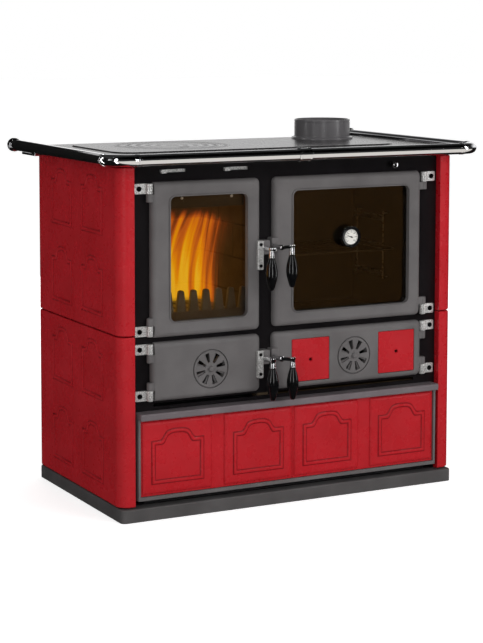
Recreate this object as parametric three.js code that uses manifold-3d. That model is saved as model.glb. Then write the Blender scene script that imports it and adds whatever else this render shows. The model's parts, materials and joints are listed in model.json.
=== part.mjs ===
// Wood cookstove: a free-standing kitchen range with a firebox, an oven, an ash door, a service
// compartment and a log drawer, clad in red glazed panels under a cast cooktop with a chrome rail.
// Millimetres. +X runs right along the front, +Y to the back, +Z up. The origin is on the floor,
// under the middle of the whole stove.
import * as THREE from 'three';
import { mergeVertices } from 'three/addons/utils/BufferGeometryUtils.js';
import Module from 'manifold-3d';

const wasm = await Module();
wasm.setup();

// ---------------------------------------------------------------- driving sizes

const clearance = 0.3;            // between pieces that rest on or in each other

// body
const bodyHalfWidth = 467;        // centre to the outside of a side panel
const bodyFront = 258;            // centre to the front of the side panels
const bodyBack = 268;             // centre to the back of the side panels
const panelWall = 14;
const panelReturn = 40;           // width of the strip that folds round the front and the back
const panelReturnWall = 20;
const panelCorner = 26;
const panelJoint = 445;           // height of the joint between lower and upper panel
const panelJointGap = 2.5;
const panelTop = 845.7;
const panelFoot = 35;
const sheetWall = 4;              // folded steel sheet of the inner body
const frontPlateWall = 6;

// plinth and decks
const plinthHalfWidth = bodyHalfWidth - 2;
const plinthFront = bodyFront + 7;
const plinthBack = bodyBack - 3;
const plinthHeight = 32;
const plinthRail = 48;
const plinthCorner = 12;
const drawerBayHeight = 226;      // clear height between the lower deck and the middle deck

// cooktop
const cooktopUnderside = 852;
const cooktopWall = 14;
const cooktopHalfWidth = bodyHalfWidth + 21;
const cooktopFront = bodyFront + 43.7;
const cooktopBack = bodyBack + 20;
const cooktopCorner = 46;
const plateHalfWidth = cooktopHalfWidth - 90;
const plateFront = 112;
const plateBack = cooktopBack - 50;
const plateCorner = 58;
const plateProud = 3;             // the cooking plate stands this much above the frame
const plateWall = 11;
const plateLedge = 14;
const doorSplit = -71.5;           // between the fire side and the oven side
const hotplateRadius = 148;
const hotplateX = doorSplit - 96.5;
const hotplateY = plateBack - hotplateRadius - 8;
const lidRadius = 92;
const ringLedge = 12;
const ringWall = 6;
const lidLedge = 10;
const lidWall = 7;
const flueRadius = 75;
const flueX = plateHalfWidth - 83;
const flueY = plateBack - 86;
const flueWall = 5;
const flueHeight = 53;
const flangeRadius = 83;
const flangeWall = 6;

// hand rail
const railRadius = 14;
const railStandoff = 3;           // between the tube and the cooktop's edge
const railFront = cooktopFront + railRadius + railStandoff + clearance;
const railHalfSpan = cooktopHalfWidth + railRadius + railStandoff;
const railEnd = cooktopBack + 45;
const railBend = 58;
const railCapRadius = 17.5;
const railCapLength = 16;
const clampX = -7;
const clampLength = 34;
const clampRadius = 17;
const bracketWidth = 90;
const bracketWall = 6;
const bracketY = cooktopBack - 73;

// hinge line and doors, from the body's sides to the split between fire and oven
const hingePinX = bodyHalfWidth - 83.5;
const doorToPin = 2.5;
const fireDoorLeft = -(hingePinX - doorToPin);
const fireDoorRight = doorSplit - 18.5;
const ovenDoorLeft = doorSplit + 18.5;
const ovenDoorRight = hingePinX - 11.5;
const ashDoorLeft = fireDoorLeft;
const ashDoorRight = fireDoorRight + 1;
const serviceDoorLeft = ovenDoorLeft - 2;
const serviceDoorRight = ovenDoorRight + 4;

// chambers behind the front plate
const fireLeft = fireDoorLeft + 11;
const fireRight = fireDoorRight - 10;
const upperSill = 450;             // both upper openings of the front plate
const upperHead = 798;
const ovenLeft = ovenDoorLeft + 13;
const ovenRight = ovenDoorRight - 8;
const ovenDepth = 312;
const lowerSill = 290;
const lowerHead = 418;
const ovenFloor = 434;            // underside of the oven box
const ovenTop = 812;
const chamberWall = 4;
const liningWall = 22;
const liningOuterLeft = -(bodyHalfWidth - 47);
const liningOuterRight = doorSplit + 15.5;
const liningDepth = 352;
const grateHeight = 452;
const grateLedge = 12;
const grateWall = 12;
const grateBars = 9;
const grateSlot = 12;
const rackHeight = 598;
const rackRod = 6;
const rackBars = 9;

// doors
const doorWall = 17.7;
const doorEdge = 13;              // width of the rounded front edge
const doorCorner = 12;
const fireDoorFoot = 436;
const fireDoorTop = 808;
const fireWindowLeft = fireDoorLeft + 49;
const fireWindowRight = fireDoorRight - 36;
const fireWindowFoot = fireDoorFoot + 36.5;
const fireWindowTop = fireDoorTop - 36;
const ovenDoorFoot = 439;
const ovenDoorTop = 808.5;
const ovenWindowLeft = ovenDoorLeft + 53.5;
const ovenWindowRight = ovenDoorRight - 36.5;
const ovenWindowFoot = ovenDoorFoot + 35;
const ovenWindowTop = ovenDoorTop - 35.5;
const windowCorner = 14;
const glassWall = 4;
const glassLap = 10;
const lowerDoorFoot = 283;
const lowerDoorTop = 425.5;

// hinges
const hingePinRadius = 4;
const hingeClearance = 0.35;
const knuckleRadius = 8;
const knuckleOut = 8.8;           // pin centre in front of the front plate
const bracketPlateWall = 4.5;
const bracketPlateEnd = hingePinX + 36.5;
const bracketHeight = 25;
const lugHeight = 19;

// latches
const latchPinRadius = 4;
const leverBossRadius = 7;
const gripOut = 62;               // grip axis in front of the front plate
const neckRadius = 7.5;
const neckLength = 27;
const gripRadius = 14.5;
const gripLength = 79;

// air rosettes
const rosetteRadius = 46;
const rosetteRecess = 4;
const rosetteWall = 4.5;
const rosetteSlots = 8;
const rosetteHub = 14;
const ashRosetteX = (ashDoorLeft + ashDoorRight) / 2 + 8.7;
const serviceRosetteX = (serviceDoorLeft + serviceDoorRight) / 2 + 14.4;
const rosetteHeight = 351.5;

// tiles of the service door
const tileSize = 106;
const tileWall = 6;
const leftTileX = serviceDoorLeft + 105;
const rightTileX = serviceDoorRight - 76.4;

// oven thermometer
const dialX = (ovenDoorLeft + ovenDoorRight) / 2 + 2.5;
const dialHeight = 651;
const dialRadius = 27;
const dialDepth = 20.5;

// fascia controls
const leverSlotHeight = 8;
const leverSlotFoot = 828;
const leverSlotLength = 69;
const leftSlotX = fireDoorLeft + 29;
const rightSlotX = fireDoorRight - 94;
const leverTravel = 55;
const damperX = ovenDoorRight - 80;
const damperHeight = 827;
const damperKnobRadius = 9;
const damperRodRadius = 4;
const airSlotFoot = 269;
const airSlotHeight = 8;

// drawer
const drawerHalfWidth = bodyHalfWidth - panelReturn - 8;
const drawerFoot = 47.5;
const drawerRim = 6;
const drawerTileTop = 243;
const drawerPlateWall = 8;
const tileBlockWall = 12;
const stripTop = 260;
const stripOut = 37;              // handle strip in front of the front plate
const drawerBoxHalfWidth = drawerHalfWidth - 23;
const drawerBoxHeight = 192;
const drawerBoxDepth = 438;

// ---------------------------------------------------------------- places worked out

const plateFace = bodyFront - panelReturnWall;             // front of the front plate
const plateRear = plateFace - frontPlateWall;
const doorRear = plateFace + clearance;
const doorFace = doorRear + doorWall;
const carcassHalfWidth = bodyHalfWidth - panelWall - clearance;
const carcassFront = plateRear - clearance;
const carcassBack = bodyBack - panelWall - clearance;
const deckTop = plinthHeight + sheetWall;
const middleDeckFoot = deckTop + drawerBayHeight;
const middleDeckTop = middleDeckFoot + sheetWall;
const cooktopTop = cooktopUnderside + cooktopWall;
const plateTop = cooktopTop + plateProud;
const plateFoot = plateTop - plateWall;
const railHeight = cooktopUnderside + railRadius;
const hingePinOut = plateFace + knuckleOut;
const doorTopBracket = 780;
const doorFootBracket = 440;
const lowerTopBracket = 397;
const lowerFootBracket = 285;

// ---------------------------------------------------------------- shape helpers

const FRONT = new THREE.Matrix4().makeBasis(
  new THREE.Vector3(1, 0, 0), new THREE.Vector3(0, 0, 1), new THREE.Vector3(0, -1, 0));
const LEFT = new THREE.Matrix4().makeBasis(
  new THREE.Vector3(0, -1, 0), new THREE.Vector3(0, 0, 1), new THREE.Vector3(-1, 0, 0));
const RIGHT = new THREE.Matrix4().makeBasis(
  new THREE.Vector3(0, 1, 0), new THREE.Vector3(0, 0, 1), new THREE.Vector3(1, 0, 0));
const UP = new THREE.Matrix4();

// Position-only, indexed, welded copy with the triangles of no area dropped and its faces outward.
function welded(geometry) {
  const bare = new THREE.BufferGeometry();
  bare.setAttribute('position', geometry.getAttribute('position').clone());
  if (geometry.index) bare.setIndex(geometry.index.clone());
  const merged = mergeVertices(bare, 1e-4);
  const place = merged.getAttribute('position');
  const source = merged.index.array;
  const kept = [];
  let volume = 0;
  const a = new THREE.Vector3();
  const b = new THREE.Vector3();
  const c = new THREE.Vector3();
  for (let i = 0; i < source.length; i += 3) {
    const [p, q, r] = [source[i], source[i + 1], source[i + 2]];
    if (p === q || q === r || r === p) continue;
    kept.push(p, q, r);
    a.fromBufferAttribute(place, p);
    b.fromBufferAttribute(place, q);
    c.fromBufferAttribute(place, r);
    volume += a.dot(b.cross(c));
  }
  if (volume < 0) kept.reverse();
  merged.setIndex(kept);
  return merged;
}

function solid(geometry, basis = UP) {
  const clean = welded(geometry.clone().applyMatrix4(basis));
  return new wasm.Manifold(new wasm.Mesh({
    numProp: 3,
    vertProperties: Float32Array.from(clean.getAttribute('position').array),
    triVerts: Uint32Array.from(clean.index.array),
  }));
}

function join(first, ...others) {
  return others.reduce((whole, other) => whole.add(other), first);
}

function cut(first, ...others) {
  return others.reduce((whole, other) => whole.subtract(other), first);
}

function geometryOf(manifold) {
  const mesh = manifold.getMesh();
  const geometry = new THREE.BufferGeometry();
  geometry.setAttribute('position', new THREE.BufferAttribute(Float32Array.from(mesh.vertProperties), 3));
  geometry.setIndex(Array.from(mesh.triVerts));
  geometry.computeVertexNormals();
  return geometry;
}

// A block between two corners.
function block(x0, x1, y0, y1, z0, z1) {
  const box = new THREE.BoxGeometry(x1 - x0, y1 - y0, z1 - z0);
  box.translate((x0 + x1) / 2, (y0 + y1) / 2, (z0 + z1) / 2);
  return solid(box);
}

// Rings of equal count, one above the other, closed by a cap at each end.
function stack(levels, basis = FRONT) {
  const count = levels[0].outline.length;
  const points = [];
  const faces = [];
  levels.forEach(({ outline, w }) => outline.forEach((p) => points.push(p.x, p.y, w)));
  for (let level = 0; level + 1 < levels.length; level += 1) {
    for (let i = 0; i < count; i += 1) {
      const next = (i + 1) % count;
      const low = level * count;
      const high = low + count;
      faces.push(low + i, low + next, high + next, low + i, high + next, high + i);
    }
  }
  const last = (levels.length - 1) * count;
  THREE.ShapeUtils.triangulateShape(levels[0].outline, []).forEach(([a, b, c]) => faces.push(c, b, a));
  THREE.ShapeUtils.triangulateShape(levels[levels.length - 1].outline, [])
    .forEach(([a, b, c]) => faces.push(last + a, last + b, last + c));
  const geometry = new THREE.BufferGeometry();
  geometry.setAttribute('position', new THREE.Float32BufferAttribute(points, 3));
  geometry.setIndex(faces);
  return solid(geometry, basis);
}

function prism(outline, w0, w1, basis = FRONT) {
  return stack([{ outline, w: w0 }, { outline, w: w1 }], basis);
}

// Counter-clockwise rounded rectangle.
function roundedRectangle(u0, u1, v0, v1, radius, steps = 4) {
  const corners = [[u1 - radius, v0 + radius, -90], [u1 - radius, v1 - radius, 0],
    [u0 + radius, v1 - radius, 90], [u0 + radius, v0 + radius, 180]];
  const outline = [];
  corners.forEach(([cu, cv, start]) => {
    for (let i = 0; i <= steps; i += 1) {
      const angle = THREE.MathUtils.degToRad(start + (90 * i) / steps);
      outline.push(new THREE.Vector2(cu + radius * Math.cos(angle), cv + radius * Math.sin(angle)));
    }
  });
  return outline;
}

// A slab whose front edge is rounded over: the outline draws in as it comes to the face.
function roundedSlab(outlineAt, w0, w1, edge, depth, steps = 3, basis = FRONT) {
  const levels = [{ outline: outlineAt(0), w: w0 }];
  for (let i = 0; i <= steps; i += 1) {
    const angle = (Math.PI / 2) * (i / steps);
    const inset = edge * (1 - Math.cos(angle));
    levels.push({ outline: outlineAt(inset), w: w1 - depth + depth * Math.sin(angle) });
  }
  return stack(levels, basis);
}

function circle(cu, cv, radius, segments = 24) {
  return Array.from({ length: segments }, (_, i) => {
    const angle = (2 * Math.PI * i) / segments;
    return new THREE.Vector2(cu + radius * Math.cos(angle), cv + radius * Math.sin(angle));
  });
}

function round(cu, cv, radius, w0, w1, basis = FRONT, segments = 24) {
  return prism(circle(cu, cv, radius, segments), w0, w1, basis);
}

// A profile of [radius, height] turned about the upright axis through x, y.
function turned(profile, x, y, segments = 32) {
  const points = profile.map(([radius, height]) => new THREE.Vector2(radius, height));
  const lathe = new THREE.LatheGeometry(points, segments);
  lathe.rotateX(Math.PI / 2);
  lathe.translate(x, y, 0);
  return solid(lathe);
}

// A round tube through points that lie at one height, mitred at each point.
function flatTube(route, height, radius, sides = 16) {
  const points = [];
  const faces = [];
  route.forEach((point, i) => {
    const before = route[Math.max(i - 1, 0)];
    const after = route[Math.min(i + 1, route.length - 1)];
    const along = after.clone().sub(before).normalize();
    const across = new THREE.Vector2(along.y, -along.x);
    for (let s = 0; s < sides; s += 1) {
      const angle = (2 * Math.PI * s) / sides;
      const out = radius * Math.cos(angle);
      points.push(point.x + across.x * out, point.y + across.y * out, height + radius * Math.sin(angle));
    }
  });
  const rings = route.length;
  for (let ring = 0; ring + 1 < rings; ring += 1) {
    for (let s = 0; s < sides; s += 1) {
      const next = (s + 1) % sides;
      const low = ring * sides;
      const high = low + sides;
      faces.push(low + s, high + next, low + next, low + s, high + s, high + next);
    }
  }
  const last = (rings - 1) * sides;
  for (let s = 1; s + 1 < sides; s += 1) {
    faces.push(0, s, s + 1, last, last + s + 1, last + s);
  }
  const geometry = new THREE.BufferGeometry();
  geometry.setAttribute('position', new THREE.Float32BufferAttribute(points, 3));
  geometry.setIndex(faces);
  return solid(geometry);
}

// Points of a quarter turn in plan.
function bend(cx, cy, radius, start, steps = 6) {
  return Array.from({ length: steps + 1 }, (_, i) => {
    const angle = THREE.MathUtils.degToRad(start + (90 * i) / steps);
    return new THREE.Vector2(cx + radius * Math.cos(angle), cy + radius * Math.sin(angle));
  });
}

// A cathedral-arch outline: straight foot and sides, and an ogee between two shoulders.
function archOutline(arch, inset) {
  const left = arch.left + inset;
  const right = arch.right - inset;
  const shoulder = arch.shoulder - inset;
  const apex = arch.apex - inset;
  const middle = (left + right) / 2;
  const flat = (right - left) * arch.flatShare;
  const half = middle - left - flat;
  const outline = [new THREE.Vector2(left, arch.foot + inset), new THREE.Vector2(right, arch.foot + inset),
    new THREE.Vector2(right, shoulder)];
  const steps = 5;
  for (let i = -steps; i <= steps; i += 1) {
    const share = 1 - Math.abs(i) / steps;
    const ease = THREE.MathUtils.smoothstep(share, 0, 0.35);
    const rise = (apex - shoulder) * (1 - (1 - share) ** 2) * ease;
    outline.push(new THREE.Vector2(middle - (half * i) / steps, shoulder + rise));
  }
  outline.push(new THREE.Vector2(left, shoulder));
  return outline;
}

// The raised bead that draws the arch on a glazed panel.
const beadWidth = 9;
const beadProud = 2.6;
const beadRoot = 1;

function archBead(arch, face, basis) {
  const outer = stack([
    { outline: archOutline(arch, 0), w: face - beadRoot },
    { outline: archOutline(arch, 1), w: face + beadProud * 0.7 },
    { outline: archOutline(arch, beadWidth * 0.35), w: face + beadProud },
  ], basis);
  const inner = prism(archOutline(arch, beadWidth), face - beadRoot - 1, face + beadProud + 1, basis);
  return outer.subtract(inner);
}

// ---------------------------------------------------------------- scene

const stove = new THREE.Group();

const finishes = {
  glazedRed: new THREE.MeshStandardMaterial({ color: 0xb3202a, roughness: 0.22, metalness: 0 }),
  castGrey: new THREE.MeshStandardMaterial({ color: 0x6b686a, roughness: 0.6, metalness: 0.4 }),
  blackSteel: new THREE.MeshStandardMaterial({ color: 0x1c1a1c, roughness: 0.55, metalness: 0.3 }),
  plinthGrey: new THREE.MeshStandardMaterial({ color: 0x545252, roughness: 0.6, metalness: 0.3 }),
  cooktopIron: new THREE.MeshStandardMaterial({ color: 0x4a494b, roughness: 0.35, metalness: 0.7 }),
  chrome: new THREE.MeshStandardMaterial({ color: 0xd8d9db, roughness: 0.08, metalness: 1 }),
  glass: new THREE.MeshStandardMaterial({ color: 0x2a2016, roughness: 0.05, transparent: true, opacity: 0.4 }),
  firebrick: new THREE.MeshStandardMaterial({ color: 0x7d6a52, roughness: 0.9 }),
  steel: new THREE.MeshStandardMaterial({ color: 0x77797c, roughness: 0.4, metalness: 0.9 }),
  enamel: new THREE.MeshStandardMaterial({ color: 0x2b241c, roughness: 0.3 }),
  blackGrip: new THREE.MeshStandardMaterial({ color: 0x0c0c0d, roughness: 0.15 }),
  dial: new THREE.MeshStandardMaterial({ color: 0xe9e8e4, roughness: 0.4 }),
};

function piece(name, manifold, finish) {
  const mesh = new THREE.Mesh(geometryOf(manifold), finish);
  mesh.name = name;
  stove.add(mesh);
}

// ---------------------------------------------------------------- plinth and inner body

piece('plinth', cut(
  prism(roundedRectangle(-plinthHalfWidth, plinthHalfWidth, -plinthFront, plinthBack, plinthCorner),
    0, plinthHeight, UP),
  block(-plinthHalfWidth + plinthRail, plinthHalfWidth - plinthRail,
    -plinthFront + plinthRail, plinthBack - plinthRail, -1, plinthHeight + 1),
), finishes.plinthGrey);

const innerHalfWidth = carcassHalfWidth - sheetWall;
const innerBack = carcassBack - sheetWall;

piece('carcass', cut(
  block(-carcassHalfWidth, carcassHalfWidth, -carcassFront, carcassBack, plinthHeight, cooktopUnderside),
  block(-innerHalfWidth, innerHalfWidth, -carcassFront - 1, innerBack, plinthHeight - 1, cooktopUnderside + 1),
), finishes.blackSteel);

function deck(foot) {
  return block(-innerHalfWidth + clearance, innerHalfWidth - clearance,
    -carcassFront, innerBack - clearance, foot, foot + sheetWall);
}

piece('floor_deck', deck(plinthHeight), finishes.blackSteel);
piece('middle_deck', deck(middleDeckFoot), finishes.blackSteel);

function opening(x0, x1, z0, z1) {
  return block(x0, x1, -plateFace - 1, -plateRear + 1, z0, z1);
}

function roundOpening(x, z, radius) {
  return round(x, z, radius, plateRear - 1, plateFace + 1);
}

piece('front_frame', cut(
  block(-carcassHalfWidth, carcassHalfWidth, -plateFace, -plateRear, drawerTileTop, cooktopUnderside),
  opening(fireLeft, fireRight, upperSill, upperHead),
  opening(ovenLeft, ovenRight, upperSill, upperHead),
  opening(fireLeft, fireRight, lowerSill, lowerHead),
  opening(ovenLeft, ovenRight, lowerSill, lowerHead),
  opening(fireLeft, ovenRight, airSlotFoot, airSlotFoot + airSlotHeight),
  opening(leftSlotX, leftSlotX + leverSlotLength, leverSlotFoot, leverSlotFoot + leverSlotHeight),
  opening(rightSlotX, rightSlotX + leverSlotLength, leverSlotFoot, leverSlotFoot + leverSlotHeight),
  roundOpening(damperX, damperHeight, damperRodRadius + 1),
), finishes.blackSteel);

// ---------------------------------------------------------------- firebox

const liningBack = -carcassFront + liningDepth;
const liningInnerLeft = liningOuterLeft + liningWall;
const liningInnerRight = liningOuterRight - liningWall;
const liningInnerBack = liningBack - liningWall;

piece('firebox_lining', cut(
  block(liningOuterLeft, liningOuterRight, -carcassFront, liningBack, middleDeckTop, ovenTop),
  block(liningInnerLeft, liningInnerRight, -carcassFront - 1, liningInnerBack, grateHeight, ovenTop + 1),
  block(liningInnerLeft + grateLedge, liningInnerRight - grateLedge, -carcassFront - 1,
    liningInnerBack - grateLedge, middleDeckTop - 1, grateHeight + 1),
), finishes.firebrick);

const grateLeft = liningInnerLeft + clearance;
const grateRight = liningInnerRight - clearance;
const grateFront = -carcassFront + 4;
const grateBack = liningInnerBack - clearance;
const grateTop = grateHeight + grateWall;
const guardFoot = 24;
const guardWall = 12;
const guardFaceY = grateFront + guardFoot;
const grateSlotPitch = (grateRight - grateLeft) / (grateBars + 1);

piece('fire_grate', cut(
  block(grateLeft, grateRight, grateFront, grateBack, grateHeight, grateTop),
  ...Array.from({ length: grateBars }, (_, i) => {
    const x = grateLeft + grateSlotPitch * (i + 1);
    return block(x - grateSlot / 2, x + grateSlot / 2, guardFaceY + guardWall + 20, grateBack - 24,
      grateHeight - 1, grateTop + 1);
  }),
), finishes.castGrey);

// The comb that keeps the logs off the door: tapered teeth on a sill that slopes to the front.
const guardTeeth = 7;
const guardPitch = (fireRight - fireLeft) / (guardTeeth + 1);
const guardMiddle = (fireLeft + fireRight) / 2 + 23.5;
const toothFootWidth = 27;
const toothTipWidth = 15;
const toothHeight = 52;
const sillTop = grateTop + 22;
const toothTip = sillTop + toothHeight;
const guardHalfWidth = guardPitch * guardTeeth / 2 + 10;

function tooth(i) {
  const x = guardMiddle + guardPitch * (i - (guardTeeth - 1) / 2);
  const outline = [new THREE.Vector2(x - toothFootWidth / 2, sillTop - 1),
    new THREE.Vector2(x + toothFootWidth / 2, sillTop - 1),
    new THREE.Vector2(x + toothTipWidth / 2, toothTip), new THREE.Vector2(x - toothTipWidth / 2, toothTip)];
  return prism(outline, -guardFaceY - guardWall, -guardFaceY);
}

const sillOutline = [new THREE.Vector2(grateFront, grateTop), new THREE.Vector2(guardFaceY + guardWall, grateTop),
  new THREE.Vector2(guardFaceY + guardWall, sillTop), new THREE.Vector2(guardFaceY, sillTop),
  new THREE.Vector2(grateFront, grateTop + 4)];

piece('log_guard', join(
  prism(sillOutline, guardMiddle - guardHalfWidth, guardMiddle + guardHalfWidth, RIGHT),
  ...Array.from({ length: guardTeeth }, (_, i) => tooth(i)),
), finishes.castGrey);

const panSide = 6;
const panWall = 2.5;
const panHeight = 96;
const panHandle = 70;
const panLeft = liningInnerLeft + grateLedge + panSide;
const panRight = liningInnerRight - grateLedge - panSide;
const panBack = liningInnerBack - grateLedge - panSide;
const panFoot = middleDeckTop;
const panHandleX = (panLeft + panRight) / 2;
const panFront = -carcassFront + 12;

piece('ash_pan', join(
  cut(
    block(panLeft, panRight, panFront, panBack, panFoot, panFoot + panHeight),
    block(panLeft + panWall, panRight - panWall, panFront + panWall, panBack - panWall,
      panFoot + panWall, panFoot + panHeight + 1),
  ),
  block(panHandleX - panHandle / 2, panHandleX + panHandle / 2, panFront - 8, panFront + 1,
    panFoot + panHeight - 12, panFoot + panHeight - 6),
), finishes.steel);

// ---------------------------------------------------------------- oven and service compartment

const boxLeft = ovenLeft - chamberWall * 2;
const boxRight = ovenRight + chamberWall * 2;
const ovenBack = -carcassFront + ovenDepth;

function chamber(foot, top) {
  return cut(
    block(boxLeft, boxRight, -carcassFront, ovenBack, foot, top),
    block(boxLeft + chamberWall, boxRight - chamberWall, -carcassFront - 1, ovenBack - chamberWall,
      foot + chamberWall, top - chamberWall),
  );
}

// Wire ladders on the oven's side walls: two uprights and a pair of guide wires at each shelf position.
const ladderFront = -100;
const ladderBack = 30;
const ladderFoot = 514;
const ladderTop = 692;
const ladderRod = 4;
const ladderOff = 12;             // from the wall to the uprights
const guideWidth = 8;
const guideSlack = 3;
const guideHeights = [526, rackHeight, 672];
const cavityLeft = boxLeft + chamberWall;
const cavityRight = boxRight - chamberWall;

// A block that starts at one distance from an oven wall and ends at another.
function offWall(side, from, to, y0, y1, z0, z1) {
  const wall = side < 0 ? cavityLeft : cavityRight;
  const a = wall - side * from;
  const b = wall - side * to;
  return block(Math.min(a, b), Math.max(a, b), y0, y1, z0, z1);
}

function ladder(side) {
  const uprights = [ladderFront, ladderBack].map((y) => offWall(side, ladderOff, ladderOff + ladderRod,
    y - ladderRod / 2, y + ladderRod / 2, ladderFoot, ladderTop));
  const feet = [ladderFront, ladderBack].flatMap((y) => [ladderFoot + 2, ladderTop - ladderRod - 2].map(
    (z) => offWall(side, -1, ladderOff + 1, y - ladderRod / 2 + 0.5, y + ladderRod / 2 - 0.5,
      z, z + ladderRod)));
  const guides = guideHeights.flatMap((z) => [z - ladderRod, z + rackRod + guideSlack].map(
    (foot) => offWall(side, ladderOff + 1, ladderOff + ladderRod + guideWidth,
      ladderFront - ladderRod, ladderBack + ladderRod, foot, foot + ladderRod)));
  return join(...uprights, ...feet, ...guides);
}

piece('oven_box', join(chamber(ovenFloor, ovenTop), ladder(-1), ladder(1)), finishes.enamel);

piece('service_box', chamber(middleDeckTop, ovenFloor), finishes.enamel);

// Wire shelf: a rim of rods with cross bars.
const rackInset = ladderOff + ladderRod + clearance;
const rackLeft = cavityLeft + rackInset;
const rackRight = cavityRight - rackInset;
const rackReach = 70;             // the shelf comes this much in front of the ladders
const rackFrontY = ladderFront - rackReach;
const rackBackY = ovenBack - chamberWall - 12;
const rackFoot = rackHeight;
const rackTop = rackFoot + rackRod;
const rackPitch = (rackRight - rackLeft - rackRod) / (rackBars + 1);

piece('oven_rack', join(
  cut(
    block(rackLeft, rackRight, rackFrontY, rackBackY, rackFoot, rackTop),
    block(rackLeft + rackRod, rackRight - rackRod, rackFrontY + rackRod, rackBackY - rackRod,
      rackFoot - 1, rackTop + 1),
  ),
  ...Array.from({ length: rackBars }, (_, i) => {
    const x = rackLeft + rackPitch * (i + 1);
    return block(x, x + rackRod, rackFrontY + 1, rackBackY - 1, rackFoot + 1, rackTop - 1);
  }),
), finishes.steel);

// ---------------------------------------------------------------- side panels

// Plan of the left panel: a wall with a return round the front and round the back.
function panelPlan(side) {
  const outer = bodyHalfWidth;
  const inner = bodyHalfWidth - panelReturn;
  const wall = outer - panelWall;
  const steps = 5;
  const plan = [];
  plan.push([inner, -bodyFront]);
  for (let i = 0; i <= steps; i += 1) {
    const angle = (Math.PI / 2) * (i / steps);
    plan.push([outer - panelCorner + panelCorner * Math.sin(angle),
      -bodyFront + panelCorner - panelCorner * Math.cos(angle)]);
  }
  for (let i = 0; i <= steps; i += 1) {
    const angle = (Math.PI / 2) * (i / steps);
    plan.push([outer - panelCorner + panelCorner * Math.cos(angle),
      bodyBack - panelCorner + panelCorner * Math.sin(angle)]);
  }
  plan.push([inner, bodyBack], [inner, bodyBack - panelWall], [wall, bodyBack - panelWall],
    [wall, -bodyFront + panelReturnWall - clearance], [inner, -bodyFront + panelReturnWall - clearance]);
  const points = plan.map(([x, y]) => new THREE.Vector2(side * x, y));
  return side < 0 ? points.reverse() : points;
}

const archFlatShare = 0.09;
const sideArchWidth = 130;
const sideArchMargin = 98;        // from the panel's front to the front arch
const sideArchRearMargin = 106;   // from the panel's back to the rear arch
const sideArchBack = [bodyBack - sideArchRearMargin - sideArchWidth, bodyBack - sideArchRearMargin];
const sideArchFront = [sideArchMargin - bodyFront, sideArchMargin + sideArchWidth - bodyFront];
const sideArchShoulder = 112;
const sideArchRise = 28;

function sideArches(side, feet) {
  const basis = side < 0 ? LEFT : RIGHT;
  return feet.flatMap((foot) => [sideArchBack, sideArchFront].map(([near, far]) => archBead({
    left: side < 0 ? -far : near,
    right: side < 0 ? -near : far,
    foot,
    shoulder: foot + sideArchShoulder,
    apex: foot + sideArchShoulder + sideArchRise,
    flatShare: archFlatShare,
  }, bodyHalfWidth, basis)));
}

const lowerArchFeet = [75, 278];
const upperArchFeet = [482, 678];

function sidePanel(name, side, foot, top, feet) {
  piece(name, join(prism(panelPlan(side), foot, top, UP), ...sideArches(side, feet)), finishes.glazedRed);
}

[['left', -1], ['right', 1]].forEach(([word, side]) => {
  sidePanel(`side_panel_${word}_lower`, side, panelFoot, panelJoint - panelJointGap / 2, lowerArchFeet);
  sidePanel(`side_panel_${word}_upper`, side, panelJoint + panelJointGap / 2, panelTop, upperArchFeet);
});

// ---------------------------------------------------------------- cooktop

const plateOutline = (inset) => roundedRectangle(-plateHalfWidth + inset, plateHalfWidth - inset,
  -plateFront + inset, plateBack - inset, plateCorner - inset, 5);

piece('cooktop_frame', cut(
  stack([
    { outline: roundedRectangle(-cooktopHalfWidth + 3, cooktopHalfWidth - 3, -cooktopFront + 3, cooktopBack - 3,
      cooktopCorner - 3, 5), w: cooktopUnderside },
    { outline: roundedRectangle(-cooktopHalfWidth, cooktopHalfWidth, -cooktopFront, cooktopBack,
      cooktopCorner, 5), w: cooktopUnderside + 3 },
    { outline: roundedRectangle(-cooktopHalfWidth, cooktopHalfWidth, -cooktopFront, cooktopBack,
      cooktopCorner, 5), w: cooktopTop - 3 },
    { outline: roundedRectangle(-cooktopHalfWidth + 3, cooktopHalfWidth - 3, -cooktopFront + 3, cooktopBack - 3,
      cooktopCorner - 3, 5), w: cooktopTop },
  ], UP),
  prism(plateOutline(-clearance), plateFoot - clearance, cooktopTop + 1, UP),
  prism(plateOutline(plateLedge), cooktopUnderside - 1, cooktopTop, UP),
), finishes.cooktopIron);

const ringSeat = plateTop - ringWall;

piece('cooking_plate', cut(
  stack([
    { outline: plateOutline(0), w: plateFoot },
    { outline: plateOutline(0), w: plateTop - 1.5 },
    { outline: plateOutline(1.5), w: plateTop },
  ], UP),
  round(hotplateX, hotplateY, hotplateRadius + clearance, ringSeat - clearance, plateTop + 1, UP, 48),
  round(hotplateX, hotplateY, hotplateRadius - ringLedge, plateFoot - 1, plateTop, UP, 48),
  round(flueX, flueY, flueRadius - flueWall, plateFoot - 1, plateTop + 1, UP, 36),
), finishes.cooktopIron);

const ringDepth = 12;
const ringFoot = plateTop - ringDepth;
const lidFoot = plateTop - lidWall;

piece('hotplate_ring', turned([
  [lidRadius - lidLedge, ringFoot],
  [hotplateRadius - ringLedge - 1, ringFoot],
  [hotplateRadius - ringLedge - 1, ringSeat],
  [hotplateRadius, ringSeat],
  [hotplateRadius, plateTop],
  [lidRadius + clearance, plateTop],
  [lidRadius + clearance, lidFoot - clearance],
  [lidRadius - lidLedge, lidFoot - clearance],
  [lidRadius - lidLedge, ringFoot],
], hotplateX, hotplateY, 48), finishes.cooktopIron);

const lifterSlot = 26;

piece('hotplate_lid', cut(
  turned([[0, lidFoot], [lidRadius, lidFoot], [lidRadius, plateTop - 1], [lidRadius - 1, plateTop], [0, plateTop]],
    hotplateX, hotplateY, 48),
  block(hotplateX - lifterSlot / 2, hotplateX + lifterSlot / 2, hotplateY - lidRadius + 14,
    hotplateY - lidRadius + 24, plateTop - 4, plateTop + 1),
), finishes.cooktopIron);

const fluetop = plateTop + flueHeight;

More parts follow.
